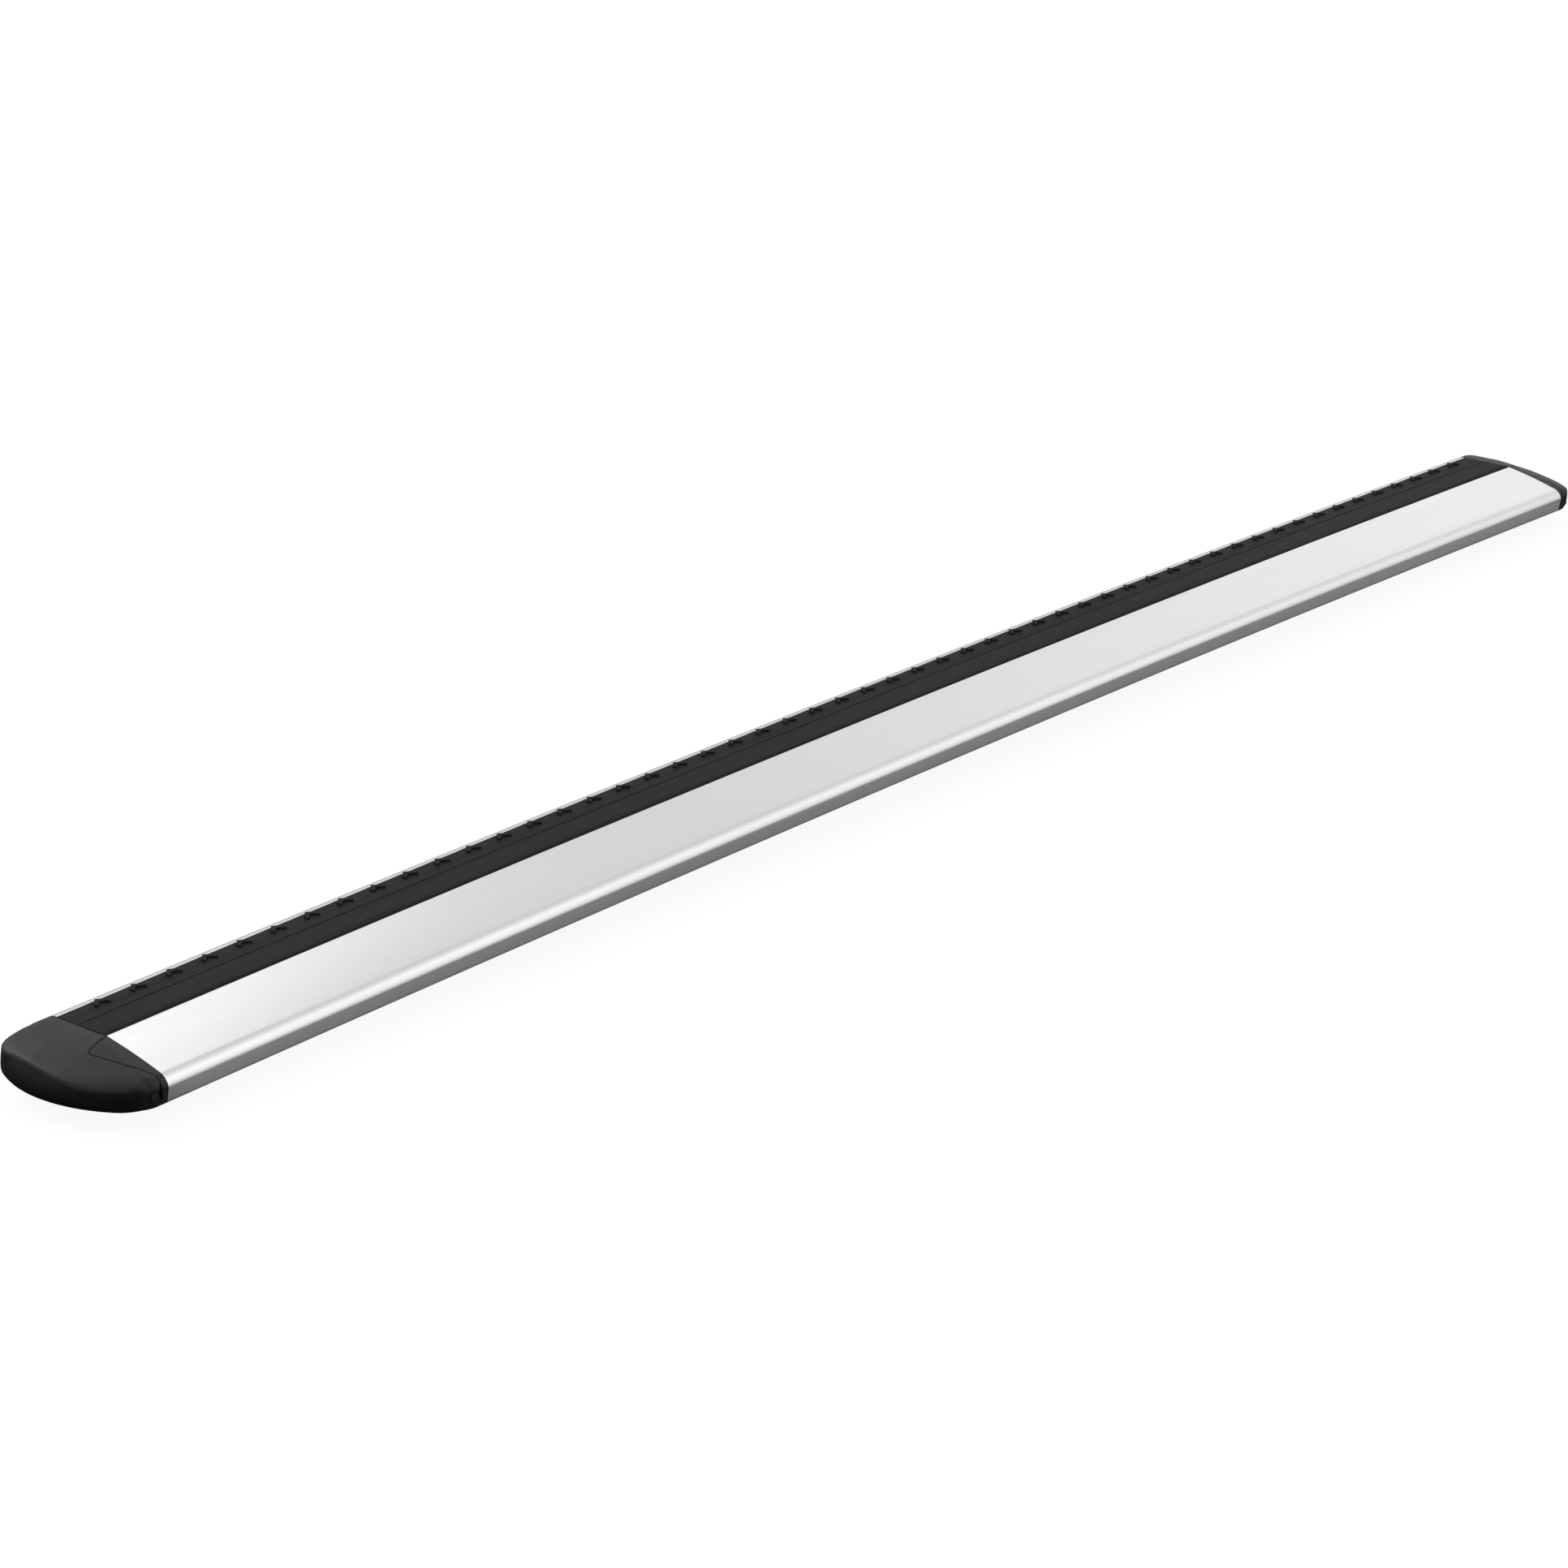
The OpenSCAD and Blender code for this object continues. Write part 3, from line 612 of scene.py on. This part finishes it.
rubber = strip_rubber()
for piece in (strip, foot_strip):
    piece.data.materials.append(rubber)


# %% [markdown]
# ## The end caps
# A cap is a moulded shell that carries the wing's section on and closes it with a soft tip: a
# level top, a slope to a crease, a bowed end wall and a bowl underneath. Here it is one formula:
# the form is where the largest of a few simple functions is below zero, and blending the largest
# with the next one rounds the edge between them. A ray from inside meets the surface where the
# formula changes sign.

# %% The cap's form as a formula
cap_reach, cap_wall = 31.0, 2.2
slope_start, slope_fall, tail_share = ((-40, -3, 14), (-1.0, 5.0, 10.0)), 0.35, 0.5
form_reach = 31.75
tip_y, tip_s, fore_power, aft_power = 13.5, 13.8, 5.4, 3.3
crease_rise, lean_limit, lean_power = 21.7, 1.3, 1.6
lean = (-40, -35, -24, 12, 24, 31, 40), (0.4, 1.0, 3.0, 3.2, 4.0, 2.4, 2.0)
bowl_y, bowl_half, bowl_depth, bowl_steep = 9.7, (51.0, 56.5), 13.3, 18
out_power, across_power, down_power = 1.36, 2.0, 2.5
crease_blend, edge_least, edge_blend, edge_grown, edge_power = 1.1, 0.05, 2.6, 9, 1.5
dip_depth, dip_width, dip_s, dip_y = 0.22, 1.0, 27, -3
dip_line = (-3.0, -0.8, 2.7, 7.7, 14.0), (6.5, 7.0, 7.8, 8.7, 10.0)

cap_section = np.concatenate([nose_low(0), nose_high(0)[1:], upper_line(0),
                              tail_lines(0), under_line(0)])
ahead = np.roll(cap_section, -1, 0) - cap_section
section_out = np.stack([ahead[:, 1], -ahead[:, 0]], -1) / np.linalg.norm(ahead, axis=1)[:, None]
section_level = np.einsum("ij,ij->i", section_out, cap_section)
rounding = arc(tail_c, tail_r, upper_deg, 180 - crease_deg, 12)[1:]
upper_rise = np.concatenate([upper_line(0), rounding])[::-1]


def blend_max(a, b, radius):
    """The larger of two values, with the corner between them rounded over a radius: where they
    differ by less than it, a quarter of the squared shortfall over the radius is added."""
    near = np.maximum(radius - np.abs(a - b), 0)
    return np.maximum(a, b) + near**2 / (4 * radius)


def wing_level(y, s):
    """Distance outside the wing's convex outline: the largest distance beyond any of its sides."""
    places = np.stack([y, s], -1)
    return (places @ section_out.T - section_level).max(-1)


def cap_level_at(u, y, s):
    """Below zero inside the cap: the rounded largest of the wing's section, the end wall, the top
    slope and the bowl. The wall is a superellipse in plan that leans in by a power of the height
    above its widest, up to a limit. The slope starts nearer the metal towards the tail and takes
    a share of the section's fall. A bell curve dips the surface beside the level top."""
    fore = y > tip_y
    power = np.where(fore, fore_power, aft_power)
    across = np.abs(y - tip_y) / np.where(fore, nose_y - tip_y, tip_y - tail_y)
    out = np.maximum(u, 1e-3) / form_reach
    rise = np.maximum(s - tip_s, 0) / (crease_rise - tip_s)
    rise = lean_limit * np.tanh(rise / lean_limit)
    wall = ((out**power + across**power) ** (1 / power) - 1) * form_reach
    wall = wall + np.interp(y, *lean) * rise**lean_power
    level_s = bar_height - tail_share * (bar_height - np.interp(y, *upper_rise.T))
    slope = s - level_s + slope_fall * (u - np.interp(y, *slope_start))
    slope = slope / math.hypot(1, slope_fall)
    depth = np.clip((tip_s - s) / bowl_depth, 0, 3)
    spread_y = np.abs(y - bowl_y) / np.where(y > bowl_y, *bowl_half)
    bowl = np.sqrt(out**out_power + spread_y**across_power + depth**down_power) - 1
    edge = edge_least + edge_blend * np.clip(u / edge_grown, 0, 1) ** edge_power
    dip = dip_depth * np.exp(-((u - np.interp(y, *dip_line)) / dip_width) ** 2)
    dip = dip * np.clip(s - dip_s, 0, 1) * np.clip((y - dip_y) / 2, 0, 1)
    body = blend_max(blend_max(wall, slope, crease_blend), bowl * bowl_steep, edge)
    return blend_max(wing_level(y, s), body, edge) + dip


def meet(level, start, direction, depth=0.0, steps=22):
    """Points where rays from a start leave the form, by halving an interval again and again. A
    depth gives the same form further in, which is the inner side of a wall."""
    near, far = np.zeros(direction.shape[:-1]), np.full(direction.shape[:-1], 1.6)
    for _ in range(steps):
        middle = (near + far) / 2
        inside = level(*np.moveaxis(start + direction * middle[..., None], -1, 0)) < -depth
        near, far = np.where(inside, middle, near), np.where(inside, far, middle)
    return start + direction * near[..., None]


# %% [markdown]
# The cover and the base share that one form. In plan, a seam parts them: it leaves the front
# corner of the strip, turns a tight round corner out on the slope, runs straight back and meets
# the hinge's round eye. Rays fan out from the middle of the cut face, one fan for each point of
# the wing's outline, from flat against the metal round to the tip. On each fan the seam is found
# first, and the rows of the grid start there, so the seam is a clean edge of the mesh. An inner
# surface and a rim close each shell.

# %% The seam in plan
pin_out, pin_y, barrel_r, lug_r, pin_clear = 6.6, tail_y + 3.2, 3.2, 3.7, 0.15
seam_gap, cover_gap, base_gap = 0.3, 0.4, 0.1
seam_start = strip_front - 0.4
seam_corner = np.array([12.9, strip_front - 2.6])
bend_in, bend_out = np.array([-2.6, 0.75]), np.array([-0.85, -3])
waist, eye, eye_spread = (7.8, tail_y + 16), (3.47, pin_y + 2.5), 1.085
cover_foot, wedge_foot = (6.9, pin_y + 2.5), (3.25, pin_y - 1.9)
behind, past_tail = -5, tail_y - 5  # lines outside the form that close a region in plan


def seam_path(gap):
    """The seam in plan, moved outwards by a gap: a straight line, a quadratic round corner, and
    two straight lines to the hinge's eye."""
    t = np.linspace(0, 1, 15)[:, None]
    start, end = seam_corner + bend_in + [0, gap], seam_corner + bend_out + [gap, 0]
    bend = (1 - t) ** 2 * start + 2 * t * (1 - t) * (seam_corner + gap) + t**2 * end
    return np.concatenate([[[behind, seam_start + gap]], bend, [
        [waist[0] + gap, waist[1]], [eye[0] + eye_spread * gap, eye[1]]]])


round_pin = arc((pin_out, pin_y), lug_r + pin_clear, 157, 180, 5)


def within(path, u, y):
    """True for plan points inside a closed path: a line from the point crosses it an odd number of
    times."""
    a, b = path, np.roll(path, -1, 0)
    u, y = u[..., None], y[..., None]
    straddles = (a[:, 1] > y) != (b[:, 1] > y)
    slope = (b[:, 0] - a[:, 0]) / np.where(b[:, 1] == a[:, 1], 1e-9, b[:, 1] - a[:, 1])
    return (straddles & (u < a[:, 0] + slope * (y - a[:, 1]))).sum(-1) % 2 == 1


# %% Fans of rays over the form
fan_start = np.array([0.0, 8.0, 14.0])
seam_dense = -2.7, -6.5  # the fans lie close together where the seam leaves the strip


def level_line(y, s):
    return np.stack([y, np.full(len(y), s)], -1)


upper_part = upper_line(0, 44)
fans = np.concatenate([
    nose_low(0, count=34), nose_high(0, count=34)[1:],
    level_line(np.r_[27.0:0:-1.5, -0.5:-2.6:-0.5], bar_height),
    level_line(np.linspace(*seam_dense, 26), bar_height - edge_drop),
    upper_part[upper_part[:, 0] < seam_dense[1] - 0.3],
    tail_lines(0, 16, 10), under_line(0, 40), level_line(np.linspace(0.8, 21.2, 16), 0.0)])


def fan_points(angle_deg, depth):
    """Points of the form at an angle of each fan: from flat, towards its point of the outline,
    round to straight out of the end."""
    angle = np.radians(angle_deg)
    flat = (fans - fan_start[1:]) * np.cos(angle)[..., None]
    out = np.broadcast_to(cap_reach * np.sin(angle), flat.shape[:-1])[..., None]
    return meet(cap_level_at, fan_start, np.concatenate([out, flat], -1), depth)


def first_angle(is_piece, depth, widest=60.0):
    """The angle at which each fan's surface first belongs to a piece, by halving."""
    low_angle, high_angle = np.zeros(len(fans)), np.full(len(fans), widest)
    for _ in range(20):
        middle = (low_angle + high_angle) / 2
        u, y, _ = np.moveaxis(fan_points(middle, depth), -1, 0)
        reached = is_piece(u, y)
        low_angle = np.where(reached, low_angle, middle)
        high_angle = np.where(reached, middle, high_angle)
    return high_angle


def fan_surface(first, last, rows, depth):
    """Rows of points between two angles of every fan. A row that would lie before the first angle
    stays on it, so rows run level and only their ends are trimmed."""
    return fan_points(np.clip(rows[:, None], first, last), depth)


# %% Closed shells from grids
def closed_grid(points, around_rows=False, around_columns=False):
    """Triangles of a grid of points, with points that coincide made one and the triangles that
    this leaves without an area dropped. Trimmed rows and poles close in this way."""
    rows, columns = points.shape[:2]
    quads = grid_faces(rows, columns, around_rows, around_columns)
    flat = points.reshape(-1, 3)
    _, keep, index = np.unique(flat.round(4), axis=0, return_index=True, return_inverse=True)
    triangles = index.reshape(-1)[np.concatenate([quads[:, [0, 1, 2]], quads[:, [0, 2, 3]]])]
    a, b, c = triangles.T
    return outward(flat[keep], [triangles[(a != b) & (b != c) & (c != a)]])


lip_steps = ((0.28, 0.0), (0.08, 0.08), (0.0, 0.28))
fine_rows, coarse_rows = np.arange(0.0, 90.5, 0.9), np.arange(0.0, 91, 4.5)
wedge_rows, wedge_inner_rows = np.arange(0, 30, 0.8), np.arange(0, 30, 3.0)


def cover_shell():
    """The cover: its inner surface from the tip to the seam, a rounded lip, and its outer surface
    back to the tip, as one grid that closes around the fans."""
    def starts(extra, depth):
        edge = np.concatenate([seam_path(seam_gap + extra), [
            [cover_foot[0] + extra, cover_foot[1]], [pin_out + extra, past_tail],
            [behind, past_tail]]])
        return first_angle(lambda u, y: (u >= cover_gap + extra) & ~within(edge, u, y), depth)

    outer = fan_surface(starts(*lip_steps[0]), 90.0, fine_rows, 0)
    inner = fan_surface(starts(0, cap_wall), 90.0, coarse_rows, cap_wall)
    lip = [fan_points(starts(extra, depth), depth)[None] for extra, depth in lip_steps[1:]]
    outer[-1], inner[-1] = outer[-1].mean(0), inner[-1].mean(0)
    return closed_grid(np.concatenate([inner[::-1], *lip[::-1], outer]), around_columns=True)


def wedge_shell():
    """The base's visible wedge, between the metal and the seam: outer surface, lip, inner surface
    and lip again, as one grid that closes around its rows. Its two ends taper to nothing."""
    def ends(extra, depth):
        foot = wedge_foot[0] - extra
        edge = np.concatenate([seam_path(-extra), round_pin - [extra, -extra], [
            [foot, wedge_foot[1]], [foot, past_tail], [behind, past_tail]]])
        first = first_angle(lambda u, y: u >= base_gap + extra, depth)
        last = first_angle(lambda u, y: (u >= base_gap + extra) & ~within(edge, u, y), depth)
        return first, np.maximum(first, last)

    outer = fan_surface(*ends(*lip_steps[0]), wedge_rows, 0)
    inner = fan_surface(*ends(0, cap_wall), wedge_inner_rows, cap_wall)
    first_lip, last_lip = ([fan_points(ends(extra, depth)[side], depth)[None]
                            for extra, depth in lip_steps[1:]] for side in (0, 1))
    band = np.concatenate([outer, *last_lip, inner[::-1], *first_lip[::-1]])
    wide = np.flatnonzero(np.ptp(outer[..., 0], axis=0) > 1e-3)
    return closed_grid(band[:, wide[0] - 1:wide[-1] + 2], around_rows=True)


cover_form = cover_shell()
wedge_form = wedge_shell()
for name, (points, _) in (("cover", cover_form), ("wedge", wedge_form)):
    print(f"{name}: {len(points)} points, reaching", points.max(0).round(2), "mm")

# %% [markdown]
# The hidden side of a cap matters as soon as its cover swings open. The base has a floor that the
# screws pull against the metal, a notch that leaves the track free, tongues that sit in the
# chambers, and a knuckle for the pin. The cover has two lugs that turn on the pin and two ribs
# that stiffen its end wall. Flat parts are outlines given a thickness, and the lugs are the
# overlap of the cap's form and a barrel, found with the same rays.

# %% Floor, tongues and knuckle of the base
base_floor, tongue_len, floor_inset, notch_round, screw_hole_r = 2.4, 12.0, 3.0, 0.5, 1.95
overlap = 0.1  # how far the tongues reach into the floor
below_port, above_port, low_edge, high_edge = 12.9, 16.3, 10.6, 18.6
knuckle_s, knuckle_h, lug_gap = 14.5, 3.8, 0.3
knuckle_low, knuckle_high = knuckle_s - knuckle_h / 2, knuckle_s + knuckle_h / 2
eye_r, eye_flat, half_arm, pin_hole_r = barrel_r - 0.2, 2.2, 1.3, 1.23


def plate(loops, start, end):
    """A flat part: loops in y and s given a thickness along the way out of the end."""
    def place(out, y, s):
        return np.stack(np.broadcast_arrays(out, y, s), -1)
    return swept(loops, np.array([start, end]), place)


def floor_outline(inset=floor_inset):
    """The wing's outline moved in, with a notch as wide as the track."""
    front, back = track_y + track_w / 2, track_y - track_w / 2
    notch = [(front, bar_height - inset), (front, floor_s), (back, floor_s),
             (back, upper_line(inset)[0, 1])]
    return outline((nose_low(inset), 0), (nose_high(inset)[1:], 0), (notch, notch_round),
                   (upper_line(inset), 0), (tail_lines(inset), 0), (under_line(inset), 0))


def aft_tongue(inset):
    """The trailing chamber's own line, moved in further."""
    return aft_chamber(bar_wall + inset, rib_y - rib_t / 2 - inset)


def nose_tongue(low_end):
    """One half of the leading tongue, above or below the screw port."""
    rows = []
    for inset in (base_gap, base_gap + cap_wall):
        wall, top = track_y + track_side + inset, lip_s - inset
        line = np.concatenate([nose_low(bar_wall + inset, -70, 16),
                               nose_high(bar_wall + inset, 52, 16)[1:]])
        line = line[line[:, 0] > wall]
        if low_end:
            line = line[line[:, 1] < below_port]
            rows.append(np.concatenate([[(wall, low_edge), (wall, line[0, 1])], line]))
        else:
            line = line[(line[:, 1] > above_port) & (line[:, 1] < top)]
            rows.append(np.concatenate([line, [(wall, top), (wall, high_edge)]]))
    return soften(np.concatenate([rows[0], rows[1][::-1]]), 0.2, 2)


def ring(centre, radius, count=32):
    return arc(centre, radius, 0, 360, count + 1)[:-1]


def knuckle_outline():
    """In plan: an eye about the pin on a short arm from the floor, flat at the trailing face."""
    at_arm = math.degrees(math.asin(half_arm / eye_r))
    line = arc((pin_out, pin_y), eye_r, at_arm - 180, 180 - at_arm, 36)
    line[:, 1] = np.maximum(line[:, 1], pin_y - eye_flat)
    foot = base_floor - 0.2
    return np.concatenate([line, [[foot, pin_y + half_arm], [foot, pin_y - half_arm]]])


def stood_up(part):
    """A part drawn in plan and given its thickness along the first axis, stood upright."""
    points, groups = part
    return outward(points[:, [1, 2, 0]], groups)


screw_holes = [ring((y, screw_s), screw_hole_r) for y in screw_y]
knuckle = [knuckle_outline(), ring((pin_out, pin_y), pin_hole_r)]
tongue = base_gap - tongue_len, base_gap + overlap
base_parts = [
    wedge_form,
    plate([floor_outline(), *screw_holes], base_gap, base_floor),
    plate([aft_tongue(base_gap), aft_tongue(base_gap + cap_wall)], *tongue),
    plate([nose_tongue(True)], *tongue),
    plate([nose_tongue(False)], *tongue),
    stood_up(plate(knuckle, knuckle_low, knuckle_high)),
]

# %% Lugs and ribs of the cover
rib_out, past_seam, rib_thick, rib_hollow = base_floor + 4.2, 12.3, 1.8, 9.0
rib_sunk, aft_rib_y, lug_edge = 0.8, track_y - track_side - 12.1, 0.3


def lug(low_s, high_s, centre_s):
    """The overlap of the cap's form with a barrel about the pin, between two heights."""
    def level(u, y, s):
        barrel = np.hypot(u - pin_out, y - pin_y) - lug_r
        slab = np.maximum(low_s - s, s - high_s)
        return blend_max(cap_level_at(u, y, s), blend_max(barrel, slab, lug_edge), lug_edge)

    turn = np.radians(np.linspace(0, 360, 41))[:-1]
    lift = np.radians(np.linspace(-90, 90, 31))[:, None]
    away = np.stack([np.cos(turn) * np.cos(lift), np.sin(turn) * np.cos(lift),
                     np.sin(lift) + 0 * turn], -1)
    points = meet(level, np.array([pin_out, pin_y, centre_s]), 12 * away)
    points[0], points[-1] = points[0].mean(0), points[-1].mean(0)
    return closed_grid(points, around_columns=True)


def stiffener(y, first_out):
    """A rib across the inside of the end wall, from a distance out of the metal on: its outer line
    lies in the wall, its inner one is a round hollow."""
    turn = np.radians(np.linspace(-88, 88, 29))
    away = np.stack([np.cos(turn), 0 * turn, np.sin(turn)], -1)
    start = np.array([first_out, y, screw_s])
    outer = meet(cap_level_at, start, 30 * away, rib_sunk)
    length = np.linalg.norm(outer - start, axis=1)
    inner = start + away * np.minimum(rib_hollow, length - 0.05)[:, None]
    half = np.array([0, rib_thick / 2, 0])
    band = np.stack([outer - half, outer + half, inner + half, inner - half], 1)
    first, last = (band[[k]].mean(1, keepdims=True).repeat(4, 1) for k in (0, -1))
    return closed_grid(np.concatenate([first, band, last]), around_columns=True)


low_lug_top, high_lug_low = knuckle_low - lug_gap, knuckle_high + lug_gap
cover_parts = [
    cover_form,
    lug(-5, low_lug_top, low_lug_top - 1.5),
    lug(high_lug_low, 40, high_lug_low + 2),
    stiffener(aft_rib_y, past_seam),
    stiffener(screw_y[0], rib_out),
]


# %% The four mouldings
def at_side(side, part):
    """A part of a cap placed at the left end, -1, or at the right one, 1."""
    points, groups = part
    return outward(on_end(side, *points.T), groups)


mouldings = {}
for side, end in ((-1, "left"), (1, "right")):
    cover = make_piece(f"cover_{end}", [at_side(side, part) for part in cover_parts])
    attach(cover, f"cover_{end}")
    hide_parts(f"end_cover_{end}")
    base = make_piece(f"base_{end}", [at_side(side, part) for part in base_parts])
    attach(base, "bar")
    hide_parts(f"end_base_{end}")
    mouldings[f"cover_{end}"], mouldings[f"base_{end}"] = cover, base


# %% Moulded plastic and steel
def moulded_plastic(name):
    material, nodes, shader = new_material(name)
    grain = pattern(nodes, "Voronoi", 1900)
    cloud = pattern(nodes, "Noise", 30, Detail=3.0)
    colours = (0.006, 0.006, 0.0063), (0.009, 0.009, 0.0094)
    vary(nodes, shader, cloud, colours, cloud, (0.42, 0.48))
    put(shader, {"Specular IOR Level": 0.38})
    bump(nodes, shader, grain.outputs["Distance"], 0.00004, 0.3)
    return material


def zinc_steel():
    material, nodes, shader = new_material("zinc_steel")
    cloud = pattern(nodes, "Noise", 400, Detail=3.0)
    put(shader, {"Metallic": 1.0})
    colours = (0.55, 0.56, 0.58), (0.7, 0.7, 0.71)
    vary(nodes, shader, cloud, colours, cloud, (0.25, 0.42))
    return material


cover_plastic, base_plastic = moulded_plastic("cover_plastic"), moulded_plastic("base_plastic")
steel = zinc_steel()
for name, piece in mouldings.items():
    piece.data.materials.append(cover_plastic if name.startswith("cover") else base_plastic)
for name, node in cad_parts.items():
    if name.startswith(("hinge_pin", "screw")):
        node.data.materials.clear()
        node.data.materials.append(steel)

# %% [markdown]
# ## The studio
# The photograph shows the bar on plain white in soft light from above and behind: the blunt
# trailing face is mid grey and the caps go black towards the floor. The world is one level of
# light with a few large soft boxes in it. The floor adds light of its own where the camera or a
# mirror-like surface sees it, so it reads as white and still keeps the bar's shadow. A grey card
# round the bar, unseen by the camera, is painted shade for the bright metal and the caps to
# reflect: it keeps the underside of the metal from going white, and it is darker under the caps,
# which paints a darker reflection into their lower walls.


# %% The room
def combine(nodes, operation, *values):
    """A math node whose inputs are outputs of other nodes or plain numbers."""
    node = nodes.new("ShaderNodeMath")
    node.operation = operation
    for socket, value in zip(node.inputs, values):
        if isinstance(value, float):
            socket.default_value = value
        else:
            join(value, socket)
    return node.outputs["Value"]


def glow(nodes, view, direction, inner_deg, outer_deg, strength):
    """Light from round one direction: full within the inner angle, none beyond the outer one."""
    toward = nodes.new("ShaderNodeVectorMath")
    toward.operation = "DOT_PRODUCT"
    toward.inputs[1].default_value = Vector(direction).normalized()
    join(view, toward.inputs[0])
    fade = nodes.new("ShaderNodeMapRange")
    fade.interpolation_type = "SMOOTHSTEP"
    put(fade, {"From Min": math.cos(math.radians(outer_deg)),
               "From Max": math.cos(math.radians(inner_deg)), "To Max": strength})
    join(toward.outputs["Value"], fade.inputs["Value"])
    return fade.outputs["Result"]


def toward(azimuth_deg, elevation_deg):
    """A direction: azimuth from +X towards +Y, and elevation above the horizon."""
    a, e = math.radians(azimuth_deg), math.radians(elevation_deg)
    return math.cos(e) * math.cos(a), math.cos(e) * math.sin(a), math.sin(e)


room_level = 0.6
soft_boxes = [(toward(104, 38), 8, 32, 0.8), (toward(17, 21), 4, 24, 0.42),
              (toward(-36, 46), 8, 30, 0.16), (toward(-56, 26), 8, 36, 0.5)]
room = bpy.data.worlds.new("studio")
room.use_nodes = True
bpy.context.scene.world = room
nodes = room.node_tree.nodes
nodes.clear()
view = nodes.new("ShaderNodeTexCoord").outputs["Generated"]
light = glow(nodes, view, *soft_boxes[0])
for box in soft_boxes[1:]:
    light = combine(nodes, "ADD", light, glow(nodes, view, *box))
light = combine(nodes, "ADD", light, room_level)
colour = nodes.new("ShaderNodeBackground")
put(colour, {"Color": (1, 1, 1, 1)})
result = nodes.new("ShaderNodeOutputWorld")
join(light, colour.inputs["Strength"])
join(colour.outputs["Background"], result.inputs["Surface"])
print("soft boxes in the room:", len(soft_boxes))


# %% Floor and card
def flat_sheet(name, half_x, half_y, height):
    """A level rectangle that belongs to the stage."""
    signs = (-1, -1), (1, -1), (1, 1), (-1, 1)
    corners = [(x * half_x, y * half_y, height) for x, y in signs]
    mesh = bpy.data.meshes.new(name)
    mesh.from_pydata(corners, [], [(0, 1, 2, 3)])
    sheet = new_object(name, mesh)
    return sheet


def clear_from_below(nodes, shader):
    """Makes a sheet clear from its back, so that the bar's underside can be looked at."""
    facing = nodes.new("ShaderNodeNewGeometry")
    clear = nodes.new("ShaderNodeBsdfTransparent")
    choose = nodes.new("ShaderNodeMixShader")
    join(facing.outputs["Backfacing"], choose.inputs["Fac"])
    join(shader.outputs["BSDF"], choose.inputs[1])
    join(clear.outputs["BSDF"], choose.inputs[2])
    join(choose.outputs["Shader"], nodes["Material Output"].inputs["Surface"])


matt = {"Roughness": 1.0, "Specular IOR Level": 0.0}
floor_half, floor_z, floor_grey, floor_light = 30.0, -0.0006, (0.12, 0.12, 0.12, 1), 0.92
floor = flat_sheet("floor", floor_half, floor_half, floor_z)
material, nodes, shader = new_material("pale_floor")
put(shader, {"Base Color": floor_grey, "Emission Color": (1, 1, 1, 1), **matt})
seen = nodes.new("ShaderNodeLightPath")
either = seen.outputs["Is Camera Ray"]
for kind in ("Is Glossy Ray", "Is Transmission Ray"):
    either = combine(nodes, "ADD", either, seen.outputs[kind])
own_light = combine(nodes, "MULTIPLY", either, floor_light)
join(own_light, shader.inputs["Emission Strength"])
clear_from_below(nodes, shader)
floor.data.materials.append(material)

# The card is painted shade: a dark sheet the camera never sees, there only to be reflected dark in
# the metal and the caps. Its grey falls to near black towards the bar's ends, a painted darker
# reflection under the caps.
card_z, card_shift, card_ends = -0.0003, (-0.02, 0, 0), (0.55, 0.61)
painted_shade_middle, painted_shade_under_caps = (0.32, 0.32, 0.32), (0.04, 0.04, 0.04)
card = flat_sheet("painted_shade_card", 1.7, 1.2, card_z)
card.visible_camera = False
card.visible_shadow = False
material, nodes, shader = new_material("painted_shade_card")
axes = nodes.new("ShaderNodeSeparateXYZ")
join(object_place(nodes, {"Location": card_shift}), axes.inputs["Vector"])
put(shader, matt)
size_x = combine(nodes, "ABSOLUTE", axes.outputs["X"])
grey = ramp(nodes, size_x, painted_shade_middle, painted_shade_under_caps, *card_ends)
join(grey, shader.inputs["Base Color"])
clear_from_below(nodes, shader)
card.data.materials.append(material)


# %% Lamps and camera
def soft_box(name, place, aim, size, power):
    """A large square lamp that faces a point."""
    lamp = bpy.data.lights.new(name, "AREA")
    lamp.shape, lamp.size, lamp.energy = "SQUARE", size, power
    holder = new_object(name, lamp)
    holder.location = place
    holder.rotation_euler = (Vector(aim) - Vector(place)).to_track_quat("-Z", "Y").to_euler()


soft_box("top_light", (0.35, 1.1, 1.75), (0, 0, 0), 1.4, 4)
soft_box("side_light", (-0.9, 1.4, 1.35), (-0.4, 0, 0), 0.6, 5)

camera_data = bpy.data.cameras.new("camera")
camera_data.sensor_width, camera_data.lens = 36.0, 102.13
camera = new_object("camera", camera_data)
camera.location = (-1.6895, -1.3116, 0.7632)
camera.rotation_euler = [math.radians(turn) for turn in (69.970, 0.0, -50.217)]
bpy.context.scene.camera = camera
bpy.context.scene.view_settings.view_transform = "Standard"
